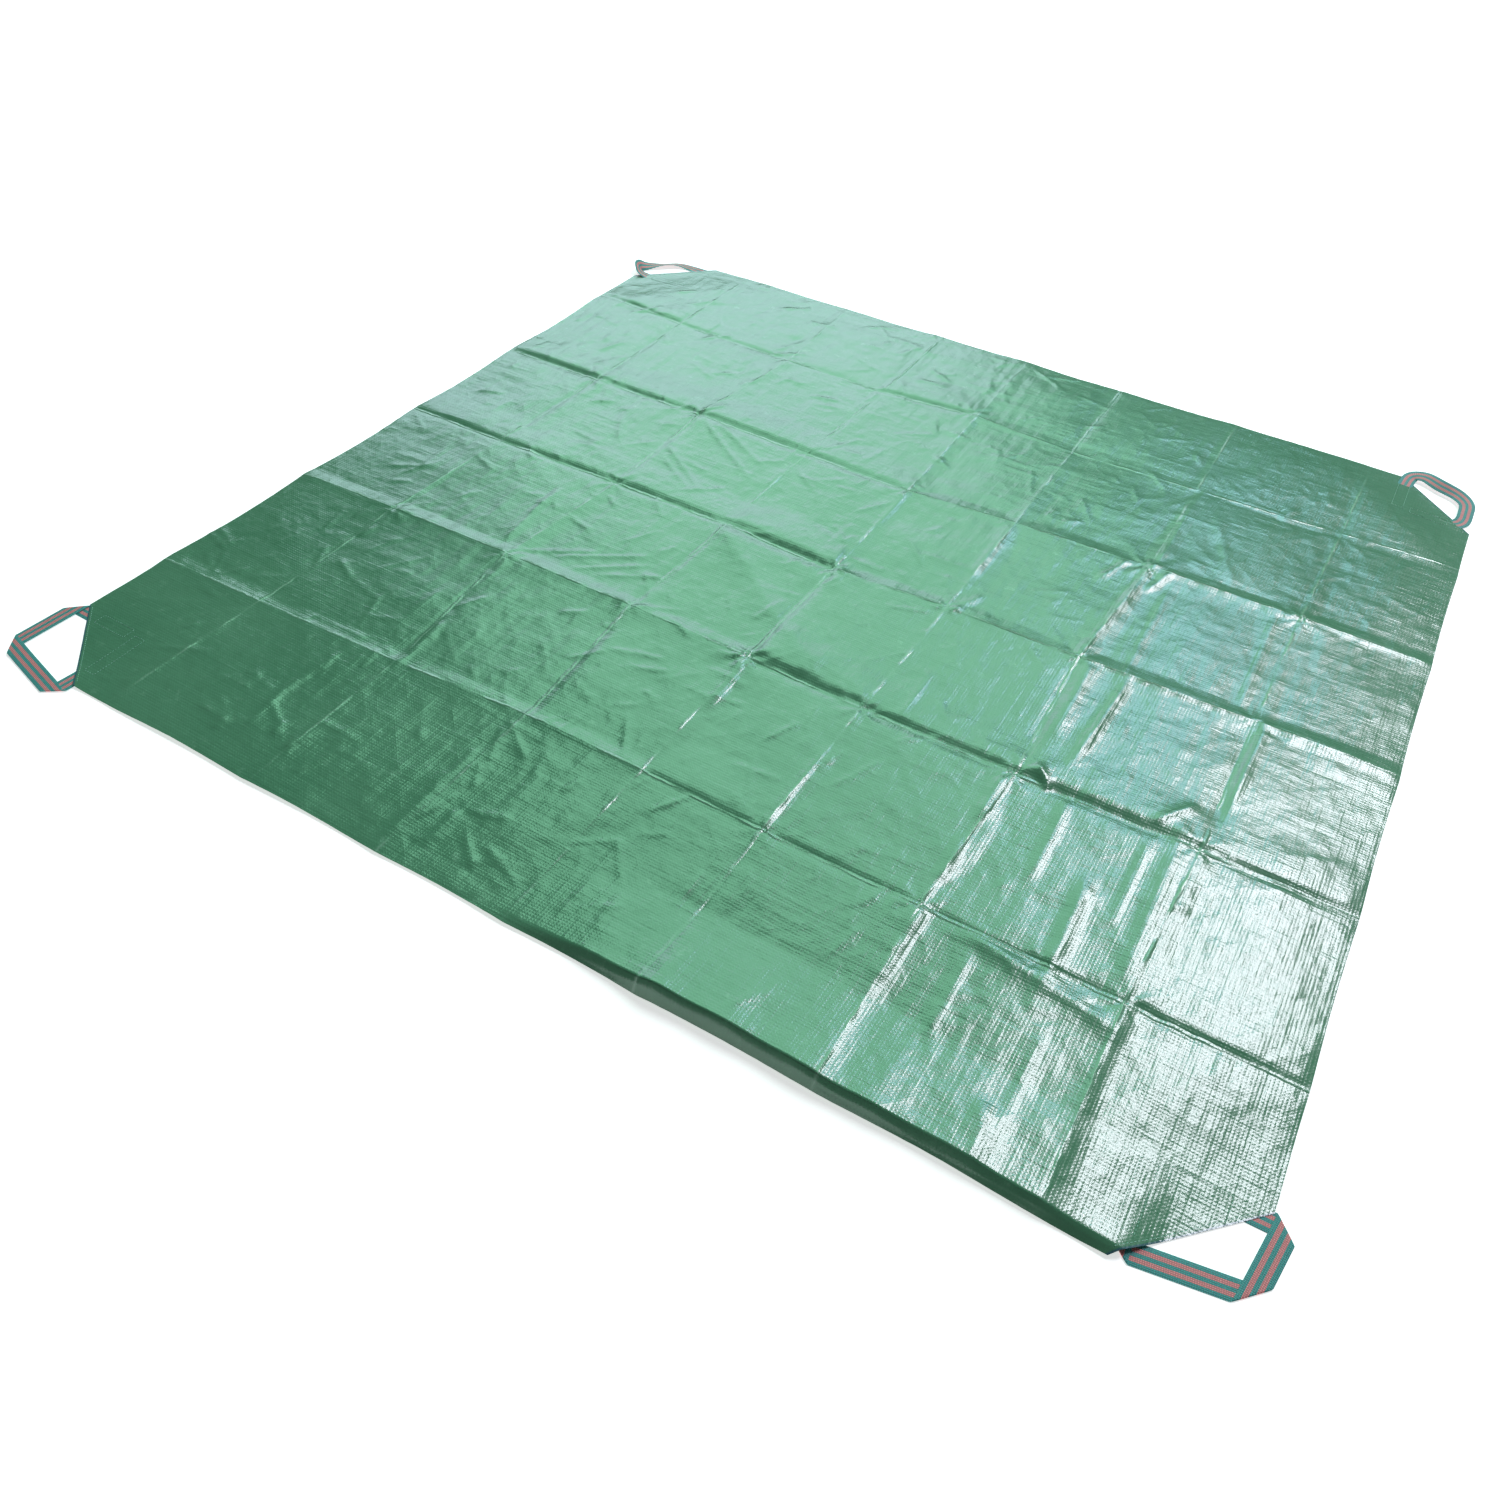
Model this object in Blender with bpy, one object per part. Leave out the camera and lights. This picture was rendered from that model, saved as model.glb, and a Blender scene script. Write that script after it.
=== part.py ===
"""A square ground sheet with a webbing handle on each cut corner, laid out flat on the floor.

Metres, +Z up. The origin is on the floor under the middle of the sheet, with +X along the front
edge and +Y towards the back. u and v are distances from the middle along X and Y, so that one
set of corner sizes serves all four corners: a corner's signs turn (u, v) into (x, y).

The sheet is cut along its fold lines into two middle halves and four corner flaps, because each
of them moves on its own. Every moving piece has its origin, or its parent empty, on its fold.
"""
import math

import bmesh
import bpy
from mathutils import Vector

# Sheet: one layer of laminated woven tape
SHEET_WIDTH = 2.000
SHEET_DEPTH = 1.920
SHEET_THICKNESS = 0.0003
CORNER_CUT = 0.149              # leg of the 45 degree cut at each corner

# Webbing handles
WEBBING_WIDTH = 0.030
WEBBING_THICKNESS = 0.0012
HANDLE_REACH_X = 0.038          # how far a handle lies out past the sheet's side edge
HANDLE_REACH_Y = {              # and past its front or back edge, negative where it stays inside
    "front_left": 0.025,
    "front_right": -0.002,
    "back_left": 0.010,
    "back_right": 0.025,
}
HANDLE_RISE = {                 # slope at which the stiff loop stands up from its fold, in degrees
    "front_left": 0.0,
    "front_right": 0.0,
    "back_left": 12.0,
    "back_right": 12.0,
}
EDGE_TAIL_LENGTH = 0.140        # tail sewn under the front or back edge, measured from that edge
EDGE_TAIL_INSET = 0.0065        # its centre line, inside the end of the corner cut
TAIL_SPACING = 0.0055           # from the edge tail to the end of the side tail
HANDLE_START = 0.001            # side run's outer edge, beyond the end of the corner cut

# Stitching that shows on top of the sheet
THREAD_WIDTH = 0.0010
THREAD_HEIGHT = 0.0006
BOX_STITCH_INSET = 0.003        # from the webbing's edges
HEM_STITCH_INSET = 0.006        # from the cut edge of the corner
HEM_STITCH_MARGIN = 0.010       # from each end of the corner cut
STITCH_SPACING = 0.005          # between two rows of stitching

# Fold lines and clearances
FOLD_MIDDLE_X = 0.200           # half the width left between two corner folds at the front edge
FOLD_MIDDLE_Y = 0.160           # half the depth left between two corner folds at a side edge
FOLD_GAP = 0.0006               # from a fold line to the piece on each side of it
HANDLE_GAP = 0.0015             # from a handle's fold to its loop
CLEARANCE = 0.0003
AXIS_LIFT = 0.0006              # fold axes above the sheet's top

# Creases left by storage, as shares of half the width or depth: the sheet was folded in equal parts
COLUMN_CREASES = (-0.760, -0.483, -0.222, 0.222, 0.483, 0.760)
ROW_CREASES = (-0.666, -0.336, -0.011, 0.326, 0.664)
COLUMN_HEIGHT = 0.004
COLUMN_FOOT = 0.045
ROW_HEIGHT = 0.007
ROW_FRONT_FOOT = 0.018
ROW_BACK_FOOT = 0.085
FLAT_BY_FOLD = 0.120            # the creases die away this close to a fold line
FLAT_BY_CORNER = 0.110          # no crease comes this close to a corner cut
CORNER_EASE = 0.090             # the distance in which they return

# The front edge stands up along its right part and turns down steeply to the floor
LIP_HEIGHT = 0.028
LIP_FACE = 0.013
LIP_BACK = 0.150
LIP_RISE = 0.200                # it reaches its full height this far outside the corner's fold
LIP_FALL = 0.330                # and falls away over this length,
LIP_STOP = 0.0125               # ending this far short of the edge tail
LONGEST_CELL = 0.125

HALF_WIDTH = SHEET_WIDTH / 2
HALF_DEPTH = SHEET_DEPTH / 2
CUT_SUM = HALF_WIDTH + HALF_DEPTH - CORNER_CUT      # u + v along a corner cut
EDGE_TAIL_MIDDLE = HALF_WIDTH - CORNER_CUT + EDGE_TAIL_INSET
LIP_END = EDGE_TAIL_MIDDLE - WEBBING_WIDTH / 2 - LIP_STOP
UNDERSIDE = WEBBING_THICKNESS + CLEARANCE
SHEET_TOP = UNDERSIDE + SHEET_THICKNESS
AXIS_HEIGHT = SHEET_TOP + AXIS_LIFT
THREAD_LOW = SHEET_TOP + CLEARANCE
NEAREST = 0.0002                # points this near a cutting line count as on it
DIAGONAL = math.sqrt(2.0)

CORNERS = {
    "front_left": (-1, -1),
    "front_right": (1, -1),
    "back_left": (-1, 1),
    "back_right": (1, 1),
}
SHEET_GREEN = (0.069, 0.216, 0.122)
WEBBING_CORAL = (0.56, 0.15, 0.14)
THREAD_TEAL = (0.03, 0.12, 0.11)


def clear_scene():
    """Remove whatever the file opened with."""
    for thing in list(bpy.data.objects):
        bpy.data.objects.remove(thing, do_unlink=True)


def ease(value):
    """0 below 0, 1 above 1, and a smooth rise between."""
    value = min(1.0, max(0.0, value))
    return value * value * (3.0 - 2.0 * value)


def tent(distance, foot_before, foot_after):
    """1 on a crease, falling straight to 0 at its feet."""
    foot = foot_after if distance > 0 else foot_before
    return max(0.0, 1.0 - abs(distance) / foot)


def outside_fold(u, v):
    """How far (u, v) lies outside the fold line of its corner, negative on the middle's side."""
    outward = Vector((HALF_DEPTH - FOLD_MIDDLE_Y, HALF_WIDTH - FOLD_MIDDLE_X)).normalized()
    return (u - FOLD_MIDDLE_X) * outward.x + (v - HALF_DEPTH) * outward.y


def lip(x, y):
    """Height of the standing front edge: a steep face at the edge and a long slope behind it."""
    if x < 0 or y > 0:
        return 0.0
    reach = ease(outside_fold(x, -y) / LIP_RISE) * ease((LIP_END - x) / LIP_FALL)
    crest = -HALF_DEPTH + LIP_FACE
    return LIP_HEIGHT * reach * tent(y - crest, LIP_FACE, LIP_BACK)


def relief(x, y):
    """Height of the sheet's underside above its lowest level."""
    u, v = abs(x), abs(y)
    columns = max(tent(x - share * HALF_WIDTH, COLUMN_FOOT, COLUMN_FOOT) for share in COLUMN_CREASES)
    rows = max(tent(y - share * HALF_DEPTH, ROW_FRONT_FOOT, ROW_BACK_FOOT) for share in ROW_CREASES)
    by_fold = ease(min(u, abs(outside_fold(u, v))) / FLAT_BY_FOLD)
    by_corner = ease(((CUT_SUM - u - v) / DIAGONAL - FLAT_BY_CORNER) / CORNER_EASE)
    creases = max(columns * COLUMN_HEIGHT, rows * ROW_HEIGHT) * by_fold * by_corner
    return max(creases, lip(x, y))


def grid_lines(half, wanted):
    """Lines from -half to half: each wanted one, and more where two are far apart."""
    marks = sorted([-half, half] + [line for line in wanted if abs(line) < half])
    lines = []
    for start, end in zip(marks, marks[1:]):
        if end - start < NEAREST:
            continue
        steps = math.ceil((end - start) / LONGEST_CELL)
        lines += [start + (end - start) * step / steps for step in range(steps)]
    return lines + [half]


def column_lines():
    """Grid lines across the width: the column creases, their feet and the lip's ends."""
    wanted = [LIP_END - LIP_FALL, LIP_END - LIP_FALL / 2, LIP_END]
    for share in COLUMN_CREASES:
        wanted += [share * HALF_WIDTH + foot for foot in (-COLUMN_FOOT, 0.0, COLUMN_FOOT)]
    return grid_lines(HALF_WIDTH, wanted)


def row_lines():
    """Grid lines across the depth: the row creases, their feet and the lip's crest."""
    wanted = [-HALF_DEPTH + LIP_FACE, -HALF_DEPTH + LIP_FACE + LIP_BACK]
    for share in ROW_CREASES:
        wanted += [share * HALF_DEPTH + foot for foot in (-ROW_FRONT_FOOT, 0.0, ROW_BACK_FOOT)]
    return grid_lines(HALF_DEPTH, wanted)


def trim(mesh, borders):
    """Cut away what lies beyond each border, given as a point and its outward direction."""
    for point, outward in borders:
        everything = mesh.verts[:] + mesh.edges[:] + mesh.faces[:]
        bmesh.ops.bisect_plane(mesh, geom=everything, dist=NEAREST, plane_co=point,
                               plane_no=outward, clear_outer=True)


def thicken(mesh, height):
    """Close an open surface into a solid by raising a copy of it."""
    raised = bmesh.ops.extrude_face_region(mesh, geom=mesh.faces[:])["geom"]
    for item in raised:
        if isinstance(item, bmesh.types.BMVert):
            item.co.z += height
    bmesh.ops.recalc_face_normals(mesh, faces=mesh.faces[:])


def flat_surface(points, faces, borders=()):
    """An open surface from points, trimmed by borders."""
    mesh = bmesh.new()
    verts = [mesh.verts.new(point) for point in points]
    for face in faces:
        mesh.faces.new([verts[index] for index in face])
    trim(mesh, borders)
    return mesh


def add_material(name, colour, roughness):
    """A Principled material of one colour."""
    material = bpy.data.materials.new(name)
    material.use_nodes = True
    shader = material.node_tree.nodes["Principled BSDF"]
    shader.inputs["Base Color"].default_value = (*colour, 1.0)
    shader.inputs["Roughness"].default_value = roughness
    shader.inputs["Metallic"].default_value = 0.0
    return material


def add_piece(name, mesh, colour, roughness, parent=None, origin=None):
    """Make an object from a mesh in world places, with its origin at the parent's or its own."""
    base = parent["place"] if parent else Vector((0.0, 0.0, 0.0))
    place = Vector(origin) if origin else Vector(base)
    bmesh.ops.translate(mesh, verts=mesh.verts[:], vec=-place)
    data = bpy.data.meshes.new(name)
    mesh.to_mesh(data)
    mesh.free()
    data.materials.append(add_material(name, colour, roughness))
    piece = bpy.data.objects.new(name, data)
    piece.parent = parent["empty"] if parent else None
    piece.location = place - Vector(base)
    bpy.context.scene.collection.objects.link(piece)
    return piece


def add_pivot(name, place, parent=None):
    """An empty on a fold's axis, which carries what turns about it."""
    base = parent["place"] if parent else Vector((0.0, 0.0, 0.0))
    empty = bpy.data.objects.new(name, None)
    empty.parent = parent["empty"] if parent else None
    empty.location = Vector(place) - base
    bpy.context.scene.collection.objects.link(empty)
    return {"empty": empty, "place": Vector(place)}


def corner_point(signs, u, v, z=0.0):
    """A point of a corner in world coordinates."""
    return Vector((signs[0] * u, signs[1] * v, z))


def corner_fold(signs):
    """Two points of a corner's fold line, and the direction that leads out to the corner."""
    front = corner_point(signs, FOLD_MIDDLE_X, HALF_DEPTH)
    side = corner_point(signs, HALF_WIDTH, FOLD_MIDDLE_Y)
    outward = corner_point(signs, HALF_DEPTH - FOLD_MIDDLE_Y, HALF_WIDTH - FOLD_MIDDLE_X)
    return front, side, outward.normalized()


def cut_border(signs, offset):
    """The border that keeps what lies inside a corner cut moved out by offset."""
    outward = corner_point(signs, 1.0, 1.0).normalized()
    return corner_point(signs, CUT_SUM / 2, CUT_SUM / 2) + outward * offset, outward


def handle_fold_middle(signs):
    """The middle of a corner cut, at the height of the handle's fold axis."""
    start = corner_point(signs, HALF_WIDTH, HALF_DEPTH - CORNER_CUT)
    end = corner_point(signs, HALF_WIDTH - CORNER_CUT, HALF_DEPTH)
    return (start + end) / 2 + Vector((0.0, 0.0, AXIS_HEIGHT))


def sheet_panel(name, borders, parent):
    """One piece of the creased sheet: its grid trimmed by the borders, given its relief."""
    columns, rows = column_lines(), row_lines()
    across = len(columns)
    points = [(x, y, 0.0) for y in rows for x in columns]
    faces = [(row * across + column, row * across + column + 1,
              (row + 1) * across + column + 1, (row + 1) * across + column)
             for row in range(len(rows) - 1) for column in range(across - 1)]
    mesh = flat_surface(points, faces, borders)
    bmesh.ops.triangulate(mesh, faces=mesh.faces[:])
    for vert in mesh.verts:
        vert.co.z = UNDERSIDE + relief(vert.co.x, vert.co.y)
    thicken(mesh, SHEET_THICKNESS)
    return add_piece(name, mesh, SHEET_GREEN, 0.35, parent)


def middle_half(name, side, parent):
    """The sheet between the middle fold and the two corner folds of one side."""
    borders = [(Vector((side * FOLD_GAP, 0.0, 0.0)), Vector((-side, 0.0, 0.0)))]
    for back in (-1, 1):
        front, _, outward = corner_fold((side, back))
        borders.append((front - outward * FOLD_GAP, outward))
    return sheet_panel(name, borders, parent)


def corner_flap(corner, parent):
    """The triangle outside a corner fold, with its corner cut off."""
    signs = CORNERS[corner]
    front, _, outward = corner_fold(signs)
    borders = [(front + outward * FOLD_GAP, -outward), cut_border(signs, 0.0)]
    return sheet_panel(f"{corner}_flap", borders, parent)


def handle_places(corner):
    """Where a handle's runs lie: u and v of the webbing's edges."""
    side_low = HALF_DEPTH - CORNER_CUT + HANDLE_START
    return {
        "side_low": side_low,
        "side_high": side_low + WEBBING_WIDTH,
        "reach_u": HALF_WIDTH + HANDLE_REACH_X,
        "reach_v": HALF_DEPTH + HANDLE_REACH_Y[corner],
        "tail_low": EDGE_TAIL_MIDDLE - WEBBING_WIDTH / 2,
        "tail_high": EDGE_TAIL_MIDDLE + WEBBING_WIDTH / 2,
        "tail_end": HALF_DEPTH - EDGE_TAIL_LENGTH,
    }


def handle_loop(corner, parent):
    """The free loop: three runs of webbing, folded over diagonally at its two outer corners."""
    signs, at = CORNERS[corner], handle_places(corner)
    inner_u, inner_v = at["reach_u"] - WEBBING_WIDTH, at["reach_v"] - WEBBING_WIDTH
    starts = CUT_SUM / 2
    outer = [(starts, at["side_low"]), (inner_u, at["side_low"]), (at["reach_u"], at["side_high"]),
             (at["reach_u"], inner_v), (inner_u, at["reach_v"]), (starts - CORNER_CUT, at["reach_v"])]
    inner = [(starts, at["side_high"]), (inner_u, at["side_high"]), (inner_u, at["side_high"]),
             (inner_u, inner_v), (inner_u, inner_v), (starts - CORNER_CUT, inner_v)]
    points = [corner_point(signs, u, v) for u, v in outer + inner]
    runs = len(outer)
    faces = [(step, step + 1, runs + step + 1, runs + step) for step in range(0, runs - 1, 2)]
    faces += [(step, step + 1, runs + step) for step in range(1, runs - 1, 2)]
    place, outward = cut_border(signs, HANDLE_GAP)
    mesh = flat_surface(points, faces)
    bmesh.ops.remove_doubles(mesh, verts=mesh.verts[:], dist=NEAREST)
    trim(mesh, [(place, -outward)])
    slope = math.tan(math.radians(HANDLE_RISE[corner]))
    for vert in mesh.verts:
        vert.co.z = slope * max(0.0, (vert.co - place).dot(outward))
    thicken(mesh, WEBBING_THICKNESS)
    return add_piece(f"{corner}_handle", mesh, WEBBING_CORAL, 0.8, parent, handle_fold_middle(signs))


def tail(name, corner, low, high, parent):
    """A straight end of webbing under the sheet, from its low to its high corner in (u, v)."""
    signs = CORNERS[corner]
    points = [corner_point(signs, u, v) for u, v in
              ((low[0], low[1]), (high[0], low[1]), (high[0], high[1]), (low[0], high[1]))]
    mesh = flat_surface(points, [(0, 1, 2, 3)], [cut_border(signs, -FOLD_GAP)])
    thicken(mesh, WEBBING_THICKNESS)
    return add_piece(name, mesh, WEBBING_CORAL, 0.8, parent)


def box_stitch(name, corner, low, high, parent):
    """The rectangle of stitching that holds a tail, seen on top of the sheet."""
    signs = CORNERS[corner]
    points = []
    for inset in (0.0, THREAD_WIDTH):
        u_low, v_low, u_high, v_high = low[0] + inset, low[1] + inset, high[0] - inset, high[1] - inset
        ring = ((u_low, v_low), (u_high, v_low), (u_high, v_high), (u_low, v_high))
        points += [corner_point(signs, u, v, THREAD_LOW) for u, v in ring]
    faces = [(side, (side + 1) % 4, (side + 1) % 4 + 4, side + 4) for side in range(4)]
    mesh = flat_surface(points, faces)
    thicken(mesh, THREAD_HEIGHT)
    return add_piece(name, mesh, THREAD_TEAL, 0.6, parent)


def hem_stitch(name, corner, parent):
    """The row of stitching along the hem of a corner cut."""
    signs = CORNERS[corner]
    inset = HEM_STITCH_INSET / DIAGONAL
    margin = HEM_STITCH_MARGIN / DIAGONAL
    start = corner_point(signs, HALF_WIDTH - inset - margin, HALF_DEPTH - CORNER_CUT - inset + margin,
                         THREAD_LOW)
    end = corner_point(signs, HALF_WIDTH - CORNER_CUT - inset + margin, HALF_DEPTH - inset - margin,
                       THREAD_LOW)
    across = corner_point(signs, THREAD_WIDTH / DIAGONAL, THREAD_WIDTH / DIAGONAL)
    mesh = flat_surface([start, end, end - across, start - across], [(0, 1, 2, 3)])
    thicken(mesh, THREAD_HEIGHT)
    return add_piece(name, mesh, THREAD_TEAL, 0.6, parent)


def build_corner(corner, parent):
    """A corner flap with its handle, the handle's two tails and the stitching."""
    signs, at = CORNERS[corner], handle_places(corner)
    front, side, _ = corner_fold(signs)
    pivot = add_pivot(f"{corner}_fold", (front + side) / 2 + Vector((0.0, 0.0, AXIS_HEIGHT)), parent)
    corner_flap(corner, pivot)
    handle_loop(corner, pivot)

    side_start = at["tail_high"] + TAIL_SPACING
    tail(f"{corner}_side_tail", corner, (side_start, at["side_low"]),
         (HALF_WIDTH, at["side_high"]), pivot)
    edge_end = min(at["reach_v"], HALF_DEPTH + CORNER_CUT)
    tail(f"{corner}_edge_tail", corner, (at["tail_low"], at["tail_end"]),
         (at["tail_high"], edge_end), pivot)

    hem_sum = CUT_SUM - (HEM_STITCH_INSET + THREAD_WIDTH) * DIAGONAL
    side_box_high = at["side_high"] - BOX_STITCH_INSET
    box_stitch(f"{corner}_side_stitching", corner,
               (side_start + BOX_STITCH_INSET, at["side_low"] + BOX_STITCH_INSET),
               (hem_sum - side_box_high - STITCH_SPACING, side_box_high), pivot)
    edge_box_high = at["tail_high"] - BOX_STITCH_INSET
    box_stitch(f"{corner}_edge_stitching", corner,
               (at["tail_low"] + BOX_STITCH_INSET, at["tail_end"] + BOX_STITCH_INSET),
               (edge_box_high, hem_sum - edge_box_high - STITCH_SPACING), pivot)
    hem_stitch(f"{corner}_hem_stitching", corner, pivot)


def build_sheet():
    """The whole object: the left half stays, the right half turns about the middle fold."""
    clear_scene()
    left = add_pivot("left_half", (0.0, 0.0, 0.0))
    right = add_pivot("centre_fold", (0.0, 0.0, AXIS_HEIGHT), left)
    middle_half("left_middle", -1, left)
    middle_half("right_middle", 1, right)
    for corner, signs in CORNERS.items():
        build_corner(corner, left if signs[0] < 0 else right)


build_sheet()
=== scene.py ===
# %% [markdown]
# # A ground sheet with four webbing handles
# The real object is one nearly square sheet of green laminated woven plastic with its corners
# cut off. A striped webbing strap is sewn under each cut corner as a handle. It lies on a
# floor, still creased from being stored folded. This lesson makes its visible surfaces around a
# finished frame of plain solids, which says where each piece is and how it moves. All sizes are
# metres, with +Z up, +X along the front edge and +Y towards the back.

import bpy
import numpy as np
from mathutils import Matrix, Vector


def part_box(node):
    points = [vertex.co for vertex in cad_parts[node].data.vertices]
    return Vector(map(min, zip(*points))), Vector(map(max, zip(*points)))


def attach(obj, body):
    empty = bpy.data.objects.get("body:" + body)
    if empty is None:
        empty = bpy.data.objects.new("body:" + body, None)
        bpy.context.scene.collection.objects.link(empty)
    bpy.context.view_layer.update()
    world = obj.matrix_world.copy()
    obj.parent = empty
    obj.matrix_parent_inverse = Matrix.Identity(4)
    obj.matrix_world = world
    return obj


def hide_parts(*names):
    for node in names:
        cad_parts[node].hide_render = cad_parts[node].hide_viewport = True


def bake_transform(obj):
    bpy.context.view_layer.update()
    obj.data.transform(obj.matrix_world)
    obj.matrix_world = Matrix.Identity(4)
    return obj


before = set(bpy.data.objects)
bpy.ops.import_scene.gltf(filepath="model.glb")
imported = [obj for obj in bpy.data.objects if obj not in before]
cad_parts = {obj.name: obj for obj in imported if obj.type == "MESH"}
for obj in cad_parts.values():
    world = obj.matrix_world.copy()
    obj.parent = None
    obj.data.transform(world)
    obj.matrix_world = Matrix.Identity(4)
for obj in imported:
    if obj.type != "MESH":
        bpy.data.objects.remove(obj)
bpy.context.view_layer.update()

# %% [markdown]
# The camera stands at the front, a little right of the middle, at standing height, and looks
# down and to the left. A camera could be aimed with a Track To constraint. Its right and down
# directions are written out instead, because they also fix its slight roll.

# %% Camera
CAMERA_PLACE = Vector((0.740, -1.667, 1.322))
CAMERA_RIGHT = Vector((0.85910, 0.50974, 0.04585)).normalized()
CAMERA_DOWN = Vector((0.38804, -0.59033, -0.70776)).normalized()

camera_data = bpy.data.cameras.new("camera")
camera_data.sensor_width = 36.0
camera_data.lens = 28.99
camera = bpy.data.objects.new("camera", camera_data)
backwards = CAMERA_DOWN.cross(CAMERA_RIGHT)
turn = Matrix((CAMERA_RIGHT, -CAMERA_DOWN, backwards)).transposed()
camera.matrix_world = Matrix.Translation(CAMERA_PLACE) @ turn.to_4x4()
bpy.context.scene.collection.objects.link(camera)
bpy.context.scene.camera = camera
print("camera looks along", list(-backwards))

# %% [markdown]
# Three small helpers serve every piece: one turns a colour code into the linear values that a
# shader wants, one adds a shader node with its settings and links, and one makes a closed mesh
# object from whole arrays. Nodes could be added one function per kind, but one is enough.

# %% Helpers
def linear(code):
    """Linear colour from sRGB hex: c / 12.92 up to 0.04045, else ((c + 0.055) / 1.055) ^ 2.4."""
    values = np.array([int(code[place:place + 2], 16) for place in (1, 3, 5)]) / 255
    dark, light = values / 12.92, ((values + 0.055) / 1.055) ** 2.4
    return (*np.where(values <= 0.04045, dark, light).tolist(), 1.0)


def node(tree, kind, inputs=None, **settings):
    """Add a node, set its properties, and give each input a value or another node's output."""
    new = tree.nodes.new(kind)
    for name, value in settings.items():
        setattr(new, name, value)
    for key, value in (inputs or {}).items():
        if isinstance(value, bpy.types.NodeSocket):
            tree.links.new(value, new.inputs[key])
        else:
            new.inputs[key].default_value = value
    return new


def make_piece(name, points, faces, material, normals=None, uv=None, values=None):
    """A smooth-shaded object from arrays. Where given, each point has a normal, a place in the UV
    map, and named values."""
    mesh = bpy.data.meshes.new(name)
    mesh.from_pydata(points.tolist(), [], faces)
    mesh.update()
    mesh.polygons.foreach_set("use_smooth", np.ones(len(mesh.polygons), bool))
    corners = np.empty(len(mesh.loops), int)
    mesh.loops.foreach_get("vertex_index", corners)
    if uv is not None:
        mesh.uv_layers.new(name="surface").uv.foreach_set("vector", uv[corners].ravel())
    for key, value in (values or {}).items():
        mesh.attributes.new(key, "FLOAT", "POINT").data.foreach_set("value", value)
    if normals is not None:
        mesh.normals_split_custom_set_from_vertices(normals.tolist())
    mesh.materials.append(material)
    piece = bpy.data.objects.new(name, mesh)
    bpy.context.scene.collection.objects.link(piece)
    return piece


print("white is", linear("#ffffff"))

# %% [markdown]
# ## The shape of the creased sheet
# Such a sheet is folded in equal parts for storage, so five creases cross it one way and seven
# the other. Cloth simulation would drape it, but not bring back the packing creases. So its
# height above the floor is a function of x and y, worked out at once on one grid. The grid's
# spacing is chosen so that the diagonal fold lines and the corner cuts run through its points.

# %% Grid
ACROSS, BACK = 375, 360          # grid squares across the sheet and from front to back
CUT_CELLS, FOLD_CELLS = 28, 150  # grid squares along an edge to the corner cut and the corner fold
left_edge, front_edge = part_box("left_middle")[0][:2]
right_edge, back_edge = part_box("right_middle")[1][:2]
CELL = (right_edge - left_edge) / ACROSS
X, Y = np.meshgrid(left_edge + CELL * np.arange(ACROSS + 1),
                   front_edge + CELL * np.arange(BACK + 1))
MM = 0.001                       # the tables of heights are in millimetres
UNDERSIDE = 0.0015
SHEET_THICKNESS = 0.0003
print(f"grid of {X.size} points, {CELL / MM:.2f} mm apart")

# %% [markdown]
# Four shapes make all creases. A ridge is highest on its line and dies away on both sides. A
# valley touches the floor on its line, with a hump behind it. A stroke is a short pinched
# ridge. Waves are filtered noise, and their absolute value has the sharp lines and flat facets
# of crumpled film.

# %% Crease shapes
RIDGE_BACK, RIDGE_FRONT = 0.028, 0.040
VALLEY_BACK = 0.11


def ease(value):
    """3t^2 - 2t^3 of the value held between 0 and 1."""
    value = np.clip(value, 0.0, 1.0)
    return value * value * (3.0 - 2.0 * value)


def between(value, start, end, soft):
    """1 from start to end and 0 outside, easing over the length soft at each end."""
    return ease((value - start) / soft + 0.5) * ease((end - value) / soft + 0.5)


def ridge(distance):
    """1 on the line. Behind it a straight slope 28 mm long, in front a fall by e^(-d / 40 mm)."""
    behind = np.clip(1.0 - distance / RIDGE_BACK, 0.0, 1.0)
    front = np.exp(np.minimum(distance, 0.0) / RIDGE_FRONT)
    return np.minimum(behind, front)


def valley(distance, length):
    """0 on the line. Behind it a straight rise of the given length that eases back over 110 mm,
    in front a rise 0.4 times as high of the same kind."""
    def side(away, length):
        return np.clip(away / length, 0.0, 1.0) * (1.0 - ease((away - length) / VALLEY_BACK))
    return side(distance, length) + 0.4 * side(-distance, 0.8 * length)


def stroke(start, end, width):
    """1 on the segment from start to end, falling as e^(-(d / width)^1.4), tapered at its ends."""
    (x0, y0), (x1, y1) = start, end
    length = np.hypot(x1 - x0, y1 - y0)
    along = ((X - x0) * (x1 - x0) + (Y - y0) * (y1 - y0)) / length
    beside = ((X - x0) * (y1 - y0) - (Y - y0) * (x1 - x0)) / length
    return np.exp(-np.abs(beside / width) ** 1.4) * between(along, 0.0, length, 0.35 * length)


def waves(seed, size_x, size_y):
    """White noise with only the wavelengths near size_x by size_y kept, with a spread of 1."""
    noise = np.random.default_rng(seed).standard_normal(X.shape)
    fx = np.fft.fftfreq(X.shape[1], CELL)[None, :] * size_x
    fy = np.fft.fftfreq(X.shape[0], CELL)[:, None] * size_y
    keep = np.exp(-((np.hypot(fx, fy) - 1.0) / 0.4) ** 2)
    result = np.fft.ifft2(np.fft.fft2(noise) * keep).real
    return result / result.std()


print("waves spread", round(float(waves(1, 0.1, 0.1).std()), 3))

# %% [markdown]
# A crease turns from ridge to valley where it crosses another, as folding a sheet twice does.
# Each row of the tables below is one crease line, and each number its height in millimetres in
# one panel: positive for a ridge, negative for a valley.

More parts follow.
